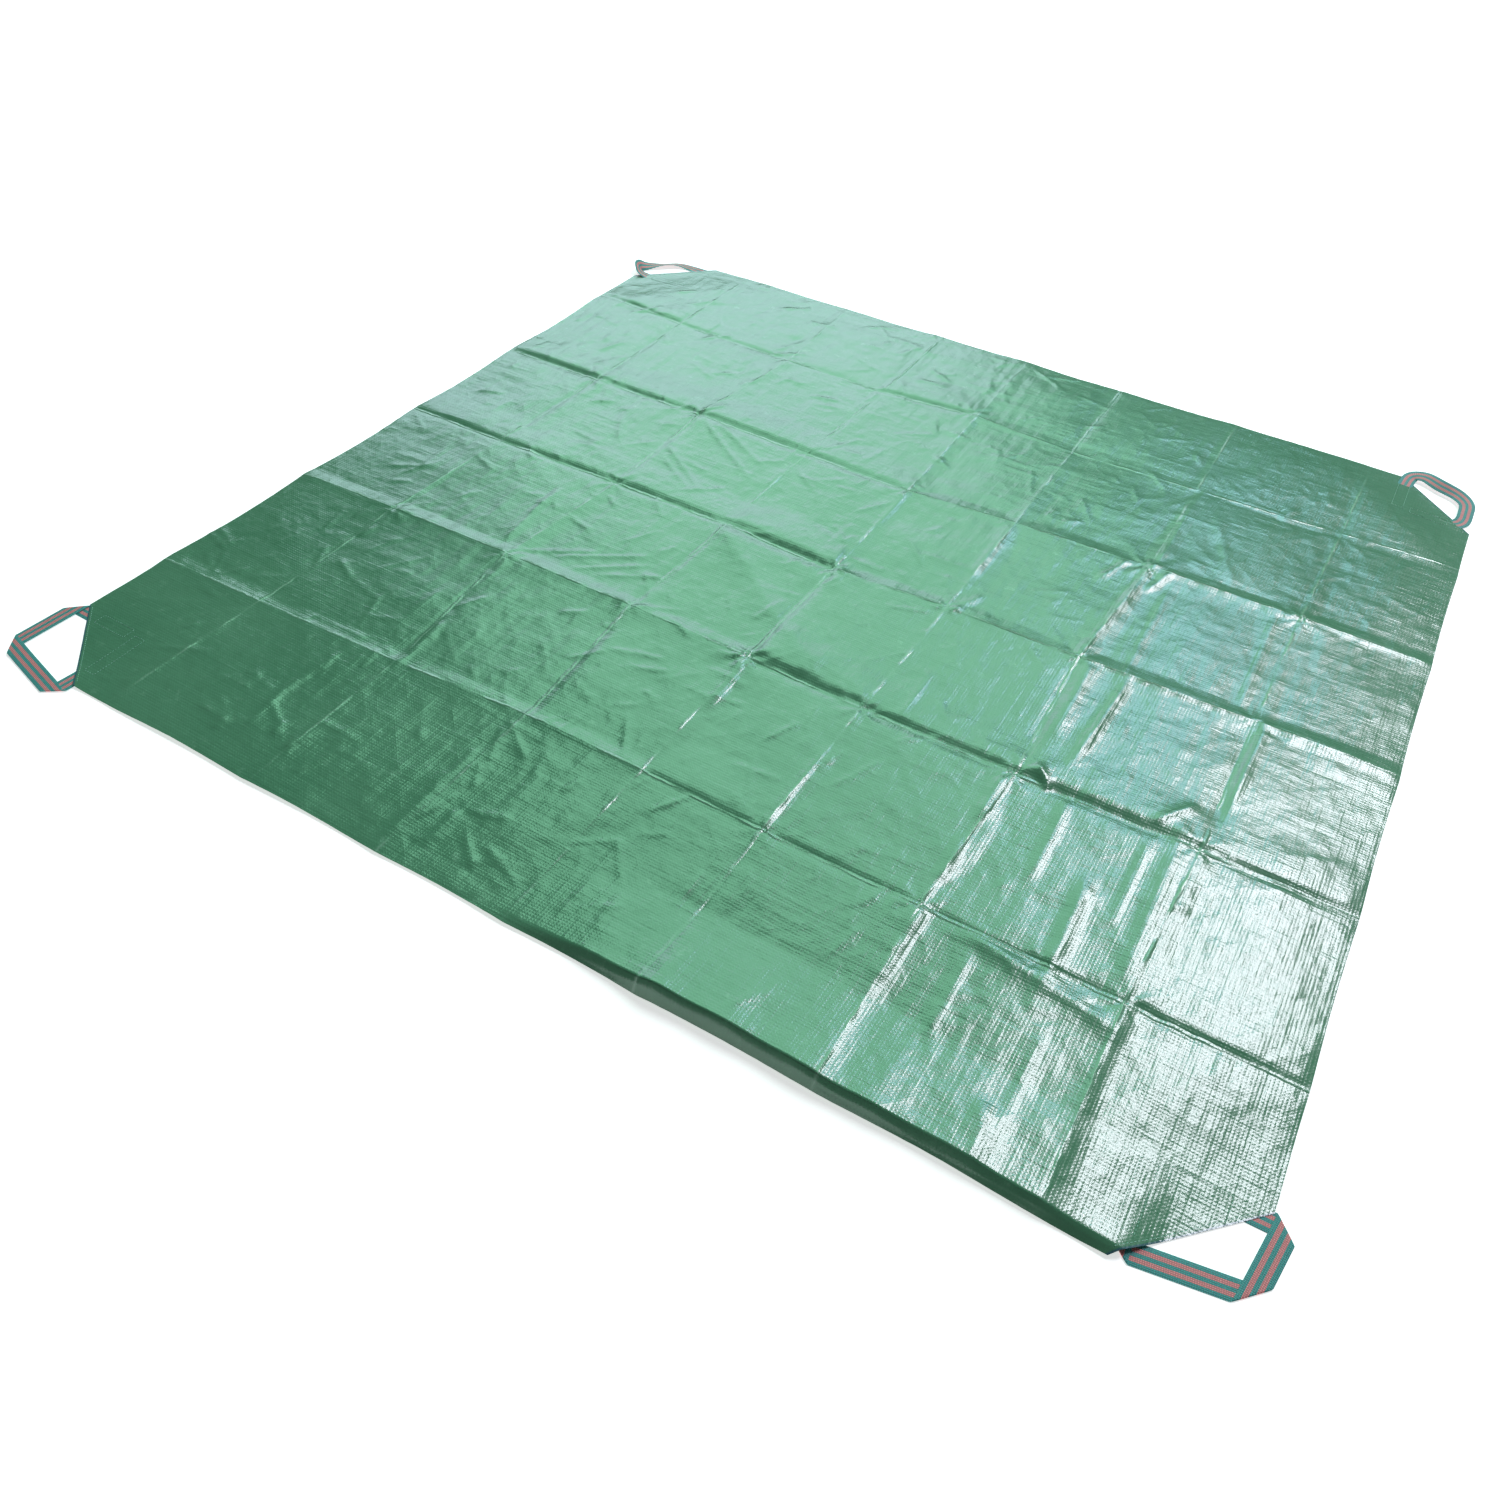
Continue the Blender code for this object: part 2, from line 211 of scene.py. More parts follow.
# %% Crease tables
COLUMN_STOPS = np.array((-1.0, -0.760, -0.483, -0.222, 0.005, 0.222, 0.483, 0.770, 1.0))
ROW_STOPS = np.array((0.960, 0.637, 0.313, -0.008, -0.318, -0.636, -0.960))
ROW_LINES = (                    # y of each crease at the column stops, from left to right
    (0.668, 0.645, 0.640, 0.632, 0.655, 0.640, 0.640, 0.655, 0.665),
    (0.313, 0.311, 0.308, 0.305, 0.300, 0.316, 0.322, 0.328, 0.329),
    (-0.006, -0.013, -0.004, -0.006, -0.015, 0.001, -0.003, 0.007, 0.008),
    (-0.320, -0.316, -0.311, -0.311, -0.315, -0.320, -0.324, -0.323, -0.316),
    (-0.654, -0.650, -0.642, -0.628, -0.628, -0.634, -0.635, -0.635, -0.631),
)
COLUMN_LINES = (                 # x of each crease at the row stops, from back to front
    (-0.755, -0.753, -0.757, -0.765, -0.775, -0.771, -0.775),
    (-0.467, -0.454, -0.488, -0.482, -0.508, -0.472, -0.468),
    (-0.210, -0.210, -0.224, -0.228, -0.236, -0.215, -0.221),
    (0.008, 0.007, 0.008, 0.005, 0.003, 0.003, 0.002),
    (0.231, 0.231, 0.231, 0.228, 0.220, 0.216, 0.216),
    (0.497, 0.497, 0.497, 0.473, 0.485, 0.468, 0.476),
    (0.785, 0.781, 0.774, 0.774, 0.774, 0.762, 0.765),
)
ROW_HEIGHTS = (                  # from left to right, one per panel
    (-3.5, -2.0, -1.0, -3.5, 2.0, 1.5, 0.8, 0.8),
    (-5.0, -4.0, -5.0, -4.0, 2.5, 2.5, 4.0, 4.0),
    (-3.5, -3.5, -4.0, -6.0, 3.5, 3.0, 4.5, 4.5),
    (5.0, 5.0, 4.5, 4.0, -5.5, -4.5, -5.0, -4.0),
    (4.0, 3.5, 3.5, 4.5, -2.5, -2.0, -2.0, -3.0),
)
COLUMN_HEIGHTS = (               # from back to front, one per panel
    (1.0, -1.2, -1.5, 1.2, -1.2, 1.2),
    (1.5, 1.8, -1.5, 2.0, -2.0, 1.5),
    (1.2, -1.5, 1.5, -2.0, -2.5, 2.5),
    (1.8, 2.5, 3.0, -3.0, 3.0, 2.0),
    (-1.2, 2.5, 3.0, 2.0, 3.0, -2.0),
    (1.5, -2.0, 3.5, -3.5, 3.5, 3.0),
    (-1.5, 2.0, 2.5, -3.5, 3.5, 2.5),
)


PANEL_BLEND = 0.030              # a crease changes its height over this length
FAR_AWAY = 9.0


def crease_lines(across, along, lines, stops, heights):
    """The highest of all lines' ridges and valleys, each with the height of its panel alongside,
    and the signed distance to the nearest line. A line runs straight from stop to stop. A
    valley's rise is 3 mm long, and 3.2 mm more for each millimetre of its height."""
    total, side = np.zeros(X.shape), np.full(X.shape, FAR_AWAY)
    order = np.argsort(stops)
    for places, row in zip(lines, heights):
        away = across - np.interp(along, stops[order], np.array(places)[order])
        side = np.where(np.abs(away) < np.abs(side), away, side)
        crease = np.zeros(X.shape)
        for height, start, end in zip(row, stops[:-1], stops[1:]):
            start, end = min(start, end), max(start, end)
            shape = ridge(away) if height > 0 else valley(away, 0.003 - 0.0032 * height)
            crease += abs(height) * MM * shape * between(along, start, end, PANEL_BLEND)
        total = np.maximum(total, crease)
    return total, side


rows, row_side = crease_lines(Y, X, ROW_LINES, COLUMN_STOPS, ROW_HEIGHTS)
columns, column_side = crease_lines(X, Y, COLUMN_LINES, ROW_STOPS, COLUMN_HEIGHTS)
print(f"rows rise to {rows.max() / MM:.1f} mm, columns to {columns.max() / MM:.1f} mm")

# %% [markdown]
# Where two creases cross, the film is pinched into a small star, whose arms are the product of
# two cosines of the angle. Single strokes are places where a hand held the sheet. Dents are the
# absolute value of waves. Wrinkles are short random strokes, higher on the left part.

# %% Pinches and strokes
CROSSINGS = (                    # x, y, height in millimetres, reach in metres
    (0.004, -0.014, 6.0, 0.050), (0.490, 0.318, 6.0, 0.050), (0.475, -0.003, 4.0, 0.035),
    (0.485, -0.322, 5.0, 0.045), (0.774, 0.322, 6.0, 0.045), (0.774, 0.004, 4.0, 0.030),
    (0.770, -0.318, 4.5, 0.045), (-0.484, -0.006, 4.0, 0.045), (0.003, -0.315, 6.0, 0.045),
    (-0.222, 0.305, 3.0, 0.035), (0.222, -0.323, 4.0, 0.040), (0.008, 0.300, 4.0, 0.040),
    (-0.505, -0.311, 4.0, 0.035), (0.228, 0.001, 4.0, 0.035), (0.468, -0.635, 4.0, 0.035),
    (-0.236, -0.311, 4.0, 0.030), (0.218, -0.634, 3.0, 0.030), (0.762, -0.635, 4.0, 0.035),
    (-0.010, 0.660, 6.0, 0.035), (-0.460, 0.640, 4.0, 0.030), (-0.488, 0.308, 5.0, 0.040),
    (-0.765, -0.318, 4.0, 0.040), (-0.760, 0.312, 4.0, 0.030), (0.650, -0.638, 3.5, 0.030),
)
STROKES = (                      # start, end, height in millimetres, width in metres
    ((0.565, -0.020), (0.552, -0.250), 4.0, 0.008), ((0.576, -0.340), (0.580, -0.500), 3.0, 0.008),
    ((0.652, -0.480), (0.660, -0.640), 3.5, 0.011), ((0.704, -0.350), (0.706, -0.510), 2.0, 0.007),
    ((0.742, -0.320), (0.748, -0.600), 3.0, 0.014), ((0.540, -0.640), (0.760, -0.680), 4.0, 0.016),
    ((0.561, -0.680), (0.563, -0.810), 2.5, 0.007), ((0.688, -0.740), (0.690, -0.910), 1.5, 0.007),
    ((0.665, -0.870), (0.680, -0.950), 4.0, 0.014), ((0.768, -0.640), (0.766, -0.940), 2.5, 0.008),
    ((0.476, -0.640), (0.478, -0.760), 2.5, 0.007), ((0.470, -0.340), (0.474, -0.440), 3.0, 0.010),
    ((0.468, -0.490), (0.476, -0.570), 2.5, 0.009), ((0.216, -0.440), (0.216, -0.635), 2.5, 0.007),
    ((0.495, 0.260), (0.470, 0.000), 3.0, 0.008), ((0.550, 0.270), (0.553, 0.010), 2.0, 0.007),
    ((0.455, 0.315), (0.430, 0.240), 3.0, 0.007), ((0.535, 0.320), (0.515, 0.250), 3.5, 0.007),
    ((0.735, 0.300), (0.742, 0.020), 2.0, 0.006), ((0.790, -0.010), (0.785, -0.200), 3.5, 0.009),
    ((0.500, -0.020), (0.505, -0.200), 3.0, 0.010), ((0.740, -0.240), (0.700, -0.300), 3.0, 0.008),
    ((0.225, 0.290), (0.227, 0.120), 2.5, 0.009), ((0.265, 0.060), (0.240, -0.005), 2.5, 0.009),
    ((0.275, -0.180), (0.283, -0.300), 2.0, 0.006), ((0.510, -0.290), (0.540, -0.325), 5.0, 0.008),
    ((-0.558, -0.090), (-0.552, -0.170), 2.0, 0.005),
    ((-0.552, -0.170), (-0.538, -0.270), 2.0, 0.005),
    ((-0.475, -0.540), (-0.465, -0.650), 2.5, 0.008),
    ((-0.230, -0.740), (-0.228, -0.950), 2.5, 0.008),
    ((-0.175, -0.840), (-0.172, -0.915), 2.0, 0.007),
    ((-0.562, -0.680), (-0.570, -0.790), 2.0, 0.006),
    ((-0.570, -0.790), (-0.555, -0.880), 2.0, 0.006),
    ((-0.775, -0.750), (-0.775, -0.955), 1.5, 0.005),
    ((-0.235, -0.015), (0.020, -0.220), 5.0, 0.035), ((0.020, -0.220), (0.110, -0.270), 3.0, 0.030),
    ((-0.500, -0.290), (-0.380, -0.215), 1.8, 0.005),
    ((-0.430, -0.265), (-0.300, -0.180), 1.8, 0.005),
    ((-0.380, -0.275), (-0.280, -0.200), 1.5, 0.005),
    ((-0.330, -0.265), (-0.240, -0.215), 1.5, 0.005),
    ((-0.455, 0.285), (-0.290, 0.170), 2.0, 0.006), ((-0.430, 0.300), (-0.280, 0.215), 1.8, 0.006),
    ((-0.470, 0.165), (-0.340, 0.070), 2.0, 0.006), ((-0.450, 0.120), (-0.360, 0.060), 1.5, 0.005),
    ((-0.630, 0.500), (-0.560, 0.470), 1.5, 0.006), ((-0.190, 0.690), (-0.150, 0.610), 1.5, 0.006),
    ((0.010, 0.300), (0.010, 0.160), 2.0, 0.006), ((0.008, -0.330), (0.012, -0.450), 3.0, 0.008),
    ((0.500, 0.600), (0.505, 0.340), 2.0, 0.008), ((0.560, 0.560), (0.640, 0.360), 1.5, 0.012),
)
PINCH_SHARE = 0.75               # of a star's height in the table
PINCH_HOLLOW = 0.012             # a star sinks to nothing within this radius
pinches = np.zeros(X.shape)
for number, (x, y, height, reach) in enumerate(CROSSINGS):
    away, angle = np.hypot(X - x, Y - y), np.arctan2(Y - y, X - x)
    star = 0.5 + 0.5 * np.cos(3.0 * angle + number * 1.3) * np.cos(4.0 * angle + number)
    fall = np.exp(-(away / reach) ** 1.3) * ease(away / PINCH_HOLLOW)
    pinches += PINCH_SHARE * height * MM * star * fall
for start, end, height, width in STROKES:
    pinches += height * MM * stroke(start, end, width)
print(f"pinches rise to {pinches.max() / MM:.1f} mm")

# %% Wrinkles and dents
WRINKLES = 640
WRINKLE_HEIGHT, WRINKLE_WIDTH = 0.8, 0.005
WRINKLE_RANGES = ((-0.97, 0.97), (-0.93, 0.93), (0.0, np.pi),   # x, y, direction
                  (0.02, 0.09), (0.2, 1.0))                     # length, share of the height
DENTS = ((11, 0.050, 0.300, 0.24), (12, 0.300, 0.070, 0.144),   # seed, size across, size back,
         (13, 0.060, 0.060, 0.128), (14, 0.020, 0.080, 0.08))   # height in millimetres

random = np.random.default_rng(5)
wrinkles = np.zeros(X.shape)
draws = [random.uniform(low, high, WRINKLES) for low, high in WRINKLE_RANGES]
for x, y, angle, length, share in zip(*draws):
    end = (x + length * np.cos(angle), y + length * np.sin(angle))
    wrinkles += share * WRINKLE_HEIGHT * MM * stroke((x, y), end, WRINKLE_WIDTH)
handled = 2.0 - 1.2 * ease((X - 0.2) / 0.4)
dents = sum(height * MM * np.abs(waves(seed, *size)) for seed, *size, height in DENTS)
crumple = dents + wrinkles * handled
print(f"crumple rises to {crumple.max() / MM:.1f} mm")

# %% [markdown]
# Between the creases each panel bulges a little off the floor, and leans between random heights
# at its four corners.

# %% Bulges
panel_x = np.interp(X, COLUMN_STOPS, np.arange(9))
panel_y = np.interp(Y, ROW_STOPS[::-1], np.arange(7))
column, row = np.minimum(panel_x.astype(int), 7), np.minimum(panel_y.astype(int), 5)
share_x, share_y = panel_x - column, panel_y - row
corner_heights = random.uniform(0.0, 6.0, (7, 9)) * MM
front_pair = (corner_heights[row, column] * (1 - share_x)
              + corner_heights[row, column + 1] * share_x)
back_pair = (corner_heights[row + 1, column] * (1 - share_x)
             + corner_heights[row + 1, column + 1] * share_x)
tilt = front_pair * (1 - share_y) + back_pair * share_y
lean_x, lean_y = random.uniform(0.7, 1.5, (2, 6, 8))
rise = random.uniform(0.8, 3.5, (6, 8)) * MM
bulge_x = np.sin(np.pi * share_x ** lean_x[row, column])
bulge_y = np.sin(np.pi * share_y ** lean_y[row, column])
bulges = rise[row, column] * np.sqrt(np.maximum(bulge_x * bulge_y, 0.0)) + tilt
bulges += 0.6 * MM * (1.0 + np.tanh(waves(22, 0.20, 0.20)))
print(f"bulges rise to {bulges.max() / MM:.1f} mm")

# %% [markdown]
# The front edge stands up along its right part. It is a steep face at the very edge and a long
# slope behind it, and the height of its crest is read from a few places along the edge.

# %% Front lip
LIP_HEIGHT = 0.026
LIP_FACE = 2 * CELL
LIP_SLOPE = 0.17
crest_share = np.interp(X, (-0.02, 0.10, 0.24, 0.48, 0.57, 0.76, 0.86, 0.90),
                        (0.0, 0.45, 1.0, 0.9, 0.75, 0.6, 0.3, 0.0))
crest_share *= 1.0 + 0.05 * np.sin(X * 60.0)
from_front = Y - front_edge
face = np.clip(from_front / LIP_FACE, 0.0, 1.0)
slope = np.clip(1.0 - (from_front - LIP_FACE) / LIP_SLOPE, 0.0, 1.0) ** 1.3
lip = LIP_HEIGHT * crest_share * np.minimum(face, slope)
print(f"the lip rises to {lip.max() / MM:.1f} mm")

# %% [markdown]
# The parts are added. They die away near the sewn corners, where the webbing below holds the
# sheet flat, and are lower near the outer edges. Two small tents stand over the front handles'
# ends, because the strap is folded double there. The outer edges are also a little wavy seen
# from above.

# %% Height of the sheet
CUT = CUT_CELLS * CELL           # leg of the triangle cut off each corner
CORNER_CALM, EDGE_CALM = 0.16, 0.12
TENTS = ((-0.8585, -0.962), (0.855, -0.962))
TENT_HEIGHT, TENT_ACROSS, TENT_BACK = 2.8, 0.030, 0.035
from_left, from_right = X - left_edge, right_edge - X
from_back = back_edge - Y
from_side = np.minimum(from_left, from_right)
from_end = np.minimum(from_front, from_back)
from_cut = (from_side + from_end - CUT) / np.sqrt(2.0)
calm = ease(from_cut / CORNER_CALM)
edge_calm = 0.7 + 0.3 * ease(np.minimum(from_side, from_end) / EDGE_CALM)
creases = np.maximum(rows, columns) + 0.3 * np.minimum(rows, columns)
relief = (creases + pinches + bulges) * calm * edge_calm
relief += crumple * (0.3 + 0.7 * calm)
for x, y in TENTS:
    away = ((X - x) / TENT_ACROSS) ** 2 + ((Y - y) / TENT_BACK) ** 2
    relief += TENT_HEIGHT * MM * np.exp(-away)
height = UNDERSIDE + SHEET_THICKNESS + np.maximum(relief, lip + 0.75 * relief)
print(f"the sheet's top lies from {height.min() / MM:.1f} to {height.max() / MM:.1f} mm")

# %% Outline and normals
BOWS = (6.0, 2.0, 3.0, 3.0)      # left, right, front and back edge, in millimetres
BOW_REACH = 0.10
fall = [bow * MM * np.exp(-away / BOW_REACH)
        for bow, away in zip(BOWS, (from_left, from_right, from_front, from_back))]
plan_x = X + np.sin(np.pi * share_y) * calm * (fall[0] - fall[1])
plan_y = Y + np.sin(np.pi * share_x) * calm * (fall[2] - fall[3])
slope_y, slope_x = np.gradient(height, CELL)
normals = np.dstack((-slope_x, -slope_y, np.ones(X.shape)))
normals /= np.linalg.norm(normals, axis=2, keepdims=True)
print(f"the steepest place slopes {np.degrees(np.arccos(normals[..., 2].min())):.0f} degrees")

# %% [markdown]
# ## The sheet's material
# The real one is a tarpaulin: flat polyethylene tapes woven into cloth, with a thin clear film
# melted onto each face. The film gives a glossy skin that wrinkles in fine lines, over a green
# that turns paler where the film is scuffed or stretched white along a crease. First comes the
# thin line that follows each crease. Every point of the sheet carries its signed distance to the
# nearest crease, and a noise bends the line a little.

# %% Crease line
WAVE_REPEATS = 3.1831            # a wave texture of scale 1 repeats this often in a metre
CREASE_WIDTH = 0.007             # the real ones are 2 to 3 mm wide, too fine to show
CREASE_WOBBLE = 0.003


def crease_line(tree, surface):
    """1 on a crease line and 0 beside it: 1 - 2 |d + wobble| / width for each way, times the
    point's own value for being near, and the larger of the two ways."""
    wobble = node(tree, "ShaderNodeTexNoise", {"Vector": surface, "Scale": 45.0, "Detail": 3.0})
    wobble = node(tree, "ShaderNodeMapRange", {"Value": wobble.outputs["Fac"],
                                               "To Min": -CREASE_WOBBLE,
                                               "To Max": CREASE_WOBBLE}).outputs["Result"]
    lines = []
    for way in ("row", "column"):
        side = node(tree, "ShaderNodeAttribute", attribute_name=f"{way}_side").outputs["Fac"]
        near = node(tree, "ShaderNodeAttribute", attribute_name=f"{way}_near").outputs["Fac"]
        side = node(tree, "ShaderNodeMath", {0: side, 1: wobble}, operation="ADD").outputs["Value"]
        away = node(tree, "ShaderNodeMath", {0: side}, operation="ABSOLUTE").outputs["Value"]
        line = node(tree, "ShaderNodeMapRange", {"Value": away, "From Max": CREASE_WIDTH / 2,
                                                 "To Min": 1.0, "To Max": 0.0}).outputs["Result"]
        line = node(tree, "ShaderNodeMath", {0: line, 1: near}, operation="MULTIPLY")
        lines.append(line.outputs["Value"])
    return node(tree, "ShaderNodeMath", dict(enumerate(lines)),
                operation="MAXIMUM").outputs["Value"]


print(f"crease lines {CREASE_WIDTH / MM:.0f} mm wide")

# %% [markdown]
# The colour is two greens in soft patches, paler where it is scuffed or creased. A narrow
# blue-grey line shows the hem's edge at each cut corner.

# %% Colour of the laminate
def laminate_colour(tree, surface, patches, crease):
    """Green by patches, mixed with pale green by scuffs or creases, then with blue-grey."""
    base = node(tree, "ShaderNodeValToRGB", {"Fac": patches})
    base.color_ramp.elements[0].position, base.color_ramp.elements[1].position = 0.3, 0.75
    base.color_ramp.elements[0].color = linear("#427759")
    base.color_ramp.elements[1].color = linear("#528466")
    scuffs = node(tree, "ShaderNodeTexNoise", {"Vector": surface, "Scale": 28.0, "Detail": 8.0,
                                               "Roughness": 0.75}).outputs["Fac"]
    scuffs = node(tree, "ShaderNodeMapRange", {"Value": scuffs, "From Min": 0.58, "From Max": 0.8,
                                               "To Max": 0.35}).outputs["Result"]
    white = node(tree, "ShaderNodeMath", {0: crease, 1: 0.35}, operation="MULTIPLY")
    pale = node(tree, "ShaderNodeMath", {0: scuffs, 1: white.outputs["Value"]},
                operation="MAXIMUM").outputs["Value"]
    colour = node(tree, "ShaderNodeMix", {"Factor": pale, "A": base.outputs["Color"],
                                          "B": linear("#9cc3ab")}, data_type="RGBA")
    cut = node(tree, "ShaderNodeAttribute", attribute_name="from_cut").outputs["Fac"]
    hem = node(tree, "ShaderNodeMapRange", {"Value": cut, "From Min": 0.0015, "From Max": 0.003,
                                            "To Min": 0.8, "To Max": 0.0}).outputs["Result"]
    return node(tree, "ShaderNodeMix", {"Factor": hem, "A": colour.outputs["Result"],
                                        "B": linear("#2f5468")}, data_type="RGBA")


print("pale green of a crease", [round(value, 3) for value in linear("#9cc3ab")])

# %% [markdown]
# The relief has three layers. The weave is the product of two crossed waves. Real tapes are
# about 2.5 mm wide and would be too fine to show, so they are drawn 5 mm wide. The film above
# it has fine wrinkles stretched both ways and kinked ones in ridged noise. The crease line
# stands out last.

# %% Relief of the laminate
TAPE = 0.005


def laminate_relief(tree, surface, crease):
    """Three bumps, each on the normal of the one before: weave, film wrinkles, crease line."""
    bands = []
    for direction in ("X", "Y"):
        wave = node(tree, "ShaderNodeTexWave", {"Vector": surface,
                                                "Scale": 1.0 / TAPE / WAVE_REPEATS,
                                                "Distortion": 0.6, "Detail": 1.0,
                                                "Detail Scale": 0.2},
                    bands_direction=direction)
        bands.append(wave.outputs["Fac"])
    weave = node(tree, "ShaderNodeMath", dict(enumerate(bands)), operation="MULTIPLY")
    wrinkles = []
    for scale in ((14.0, 130.0, 1.0), (130.0, 14.0, 1.0)):
        stretched = node(tree, "ShaderNodeMapping", {"Vector": surface, "Scale": scale})
        noise = node(tree, "ShaderNodeTexNoise", {"Vector": stretched.outputs["Vector"],
                                                  "Scale": 1.0, "Detail": 4.0})
        wrinkles.append(noise.outputs["Fac"])
    film = node(tree, "ShaderNodeMath", dict(enumerate(wrinkles)), operation="ADD")
    film = node(tree, "ShaderNodeMath", {0: film.outputs["Value"], 1: 0.65}, operation="MULTIPLY")
    for scale, share in ((16.0, 0.60), (75.0, 0.09)):
        ridges = node(tree, "ShaderNodeTexNoise", {"Vector": surface, "Scale": scale, "Detail": 5.0,
                                                   "Roughness": 0.45, "Offset": 0.9, "Gain": 2.0},
                      noise_type="RIDGED_MULTIFRACTAL").outputs["Fac"]
        film = node(tree, "ShaderNodeMath", {0: ridges, 1: share, 2: film.outputs["Value"]},
                    operation="MULTIPLY_ADD")
    bump = node(tree, "ShaderNodeBump", {"Strength": 0.32, "Distance": 0.0004,
                                         "Height": weave.outputs["Value"]})
    for height, strength, distance in ((film.outputs["Value"], 0.5, 0.0015),
                                       (crease, 0.8, 0.0010)):
        bump = node(tree, "ShaderNodeBump", {"Strength": strength, "Distance": distance,
                                             "Height": height, "Normal": bump.outputs["Normal"]})
    return bump.outputs["Normal"]


print(f"tapes drawn {TAPE / MM:.0f} mm wide")

# %% [markdown]
# The green cloth itself is moderately glossy, because its laminate follows the tapes. A clear
# coat stands for the outer film, which is smoother and gives the sharp lights.

# %% Laminated woven polyethylene
def tarpaulin():
    """Green polyethylene, IOR 1.5, under a thin glossier coat of film."""
    material = bpy.data.materials.new("laminated_woven_polyethylene")
    material.use_nodes = True
    tree = material.node_tree
    shader = tree.nodes["Principled BSDF"]
    surface = node(tree, "ShaderNodeUVMap", uv_map="surface").outputs["UV"]
    patches = node(tree, "ShaderNodeTexNoise", {"Vector": surface, "Scale": 3.5, "Detail": 6.0,
                                                "Roughness": 0.6}).outputs["Fac"]
    crease = crease_line(tree, surface)
    colour = laminate_colour(tree, surface, patches, crease)
    tree.links.new(colour.outputs["Result"], shader.inputs["Base Color"])
    normal = laminate_relief(tree, surface, crease)
    tree.links.new(normal, shader.inputs["Normal"])
    tree.links.new(normal, shader.inputs["Coat Normal"])
    gloss = node(tree, "ShaderNodeMapRange", {"Value": patches, "To Min": 0.23, "To Max": 0.29})
    tree.links.new(gloss.outputs["Result"], shader.inputs["Roughness"])
    shader.inputs["IOR"].default_value = 1.5
    shader.inputs["Coat Weight"].default_value = 0.35
    shader.inputs["Coat Roughness"].default_value = 0.10
    return material


sheet_material = tarpaulin()
print("material", sheet_material.name)

# %% [markdown]
# The crease lines are finer than the grid can carry, so each point carries its signed distance
# to the nearest crease of each way, and the material draws the line from it. A second value is
# 1 near the crease, since the sign also flips halfway between two creases. Waves break it up.

# %% Values for the material
NEAR = 0.012                     # half to one and a half times this far, the line fades out
broken = 0.15 + 0.85 * ease(waves(31, 0.09, 0.09) * 0.5 + 0.5)
surface_values = {"from_cut": from_cut}
for name, side in (("row", row_side), ("column", column_side)):
    surface_values[f"{name}_side"] = side
    surface_values[f"{name}_near"] = ease(1.5 - np.abs(side) / NEAR) * broken * calm
print("values on each point:", sorted(surface_values))

# %% [markdown]
# ## Cutting the sheet into its moving pieces
# The frame folds along the middle and along four diagonals, so the sheet is cut there into two
# middle halves and four corner flaps. Each keeps the grid's heights and normals, so the cuts
# don't show. Grid squares on a diagonal are halved into triangles along it.

# %% Sort the grid's squares
CORNERS = {"front_left": (-1, -1), "front_right": (1, -1),
           "back_left": (-1, 1), "back_right": (1, 1)}
MIDDLE_COLUMN = ACROSS // 2

across, back = np.meshgrid(np.arange(ACROSS), np.arange(BACK))
index = back * (ACROSS + 1) + across
square = np.dstack((index, index + 1, index + ACROSS + 2, index + ACROSS + 1))
nearest = {(-1, -1): 0, (1, -1): 1, (1, 1): 2, (-1, 1): 3}      # a square's point by the corner


def from_corner(signs):
    """How many squares lie between each square and a corner, counted along both edges together."""
    side = across if signs[0] < 0 else ACROSS - 1 - across
    end = back if signs[1] < 0 else BACK - 1 - back
    return side + end


def halves(signs, distance):
    """The squares at a distance from a corner, halved: triangles on its side, then the others."""
    chosen = np.roll(square[from_corner(signs) == distance], -nearest[signs], axis=1)
    return chosen[:, [0, 1, 3]], chosen[:, [1, 2, 3]]


nearby = {signs: from_corner(signs) for signs in CORNERS.values()}
inside = np.ones(square.shape[:2], bool)
for counts in nearby.values():
    inside &= counts >= FOLD_CELLS
print("squares in the middle:", int(inside.sum()))


# %% Close each cut-out into a thin solid
def sheet_piece(name, quads, triangles):
    """Top faces from the grid, the same faces turned over one sheet's thickness below, and a rim
    wherever an edge has a face on one side only."""
    used, order = np.unique(np.concatenate((quads.ravel(), triangles.ravel())), return_inverse=True)
    quads = order[:quads.size].reshape(-1, 4)
    triangles = order[quads.size:].reshape(-1, 3)
    count = len(used)
    starts = np.concatenate((quads.ravel(), triangles.ravel()))
    ends = np.concatenate((np.roll(quads, -1, 1).ravel(), np.roll(triangles, -1, 1).ravel()))
    open_edges = ~np.isin(starts * count + ends, ends * count + starts)
    a, b = starts[open_edges], ends[open_edges]
    rim = np.column_stack((a, a + count, b + count, b))
    faces = quads.tolist() + triangles.tolist() + rim.tolist()
    faces += (quads[:, ::-1] + count).tolist() + (triangles[:, ::-1] + count).tolist()
    top = np.column_stack([value.ravel()[used] for value in (plan_x, plan_y, height)])
    points = np.concatenate((top, top - (0.0, 0.0, SHEET_THICKNESS)))
    up = normals.reshape(-1, 3)[used]
    values = {key: np.tile(value.ravel()[used], 2) for key, value in surface_values.items()}
    piece = make_piece(name, points, faces, sheet_material, np.concatenate((up, -up)),
                       points[:, :2], values)
    print(name, len(faces), "faces")
    return piece


# %% Middle halves
for side, half in ((-1, "left"), (1, "right")):
    kept = inside & ((across < MIDDLE_COLUMN) if side < 0 else (across >= MIDDLE_COLUMN))
    edges = [halves(signs, FOLD_CELLS - 1)[1] for signs in CORNERS.values() if signs[0] == side]
    piece = sheet_piece(f"{half}_sheet", square[kept], np.concatenate(edges))
    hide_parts(f"{half}_middle")
    if side < 0:
        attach(piece, "left_half")
    else:
        start = (X[0, MIDDLE_COLUMN], 0.0, 0.0)
        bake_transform(piece)

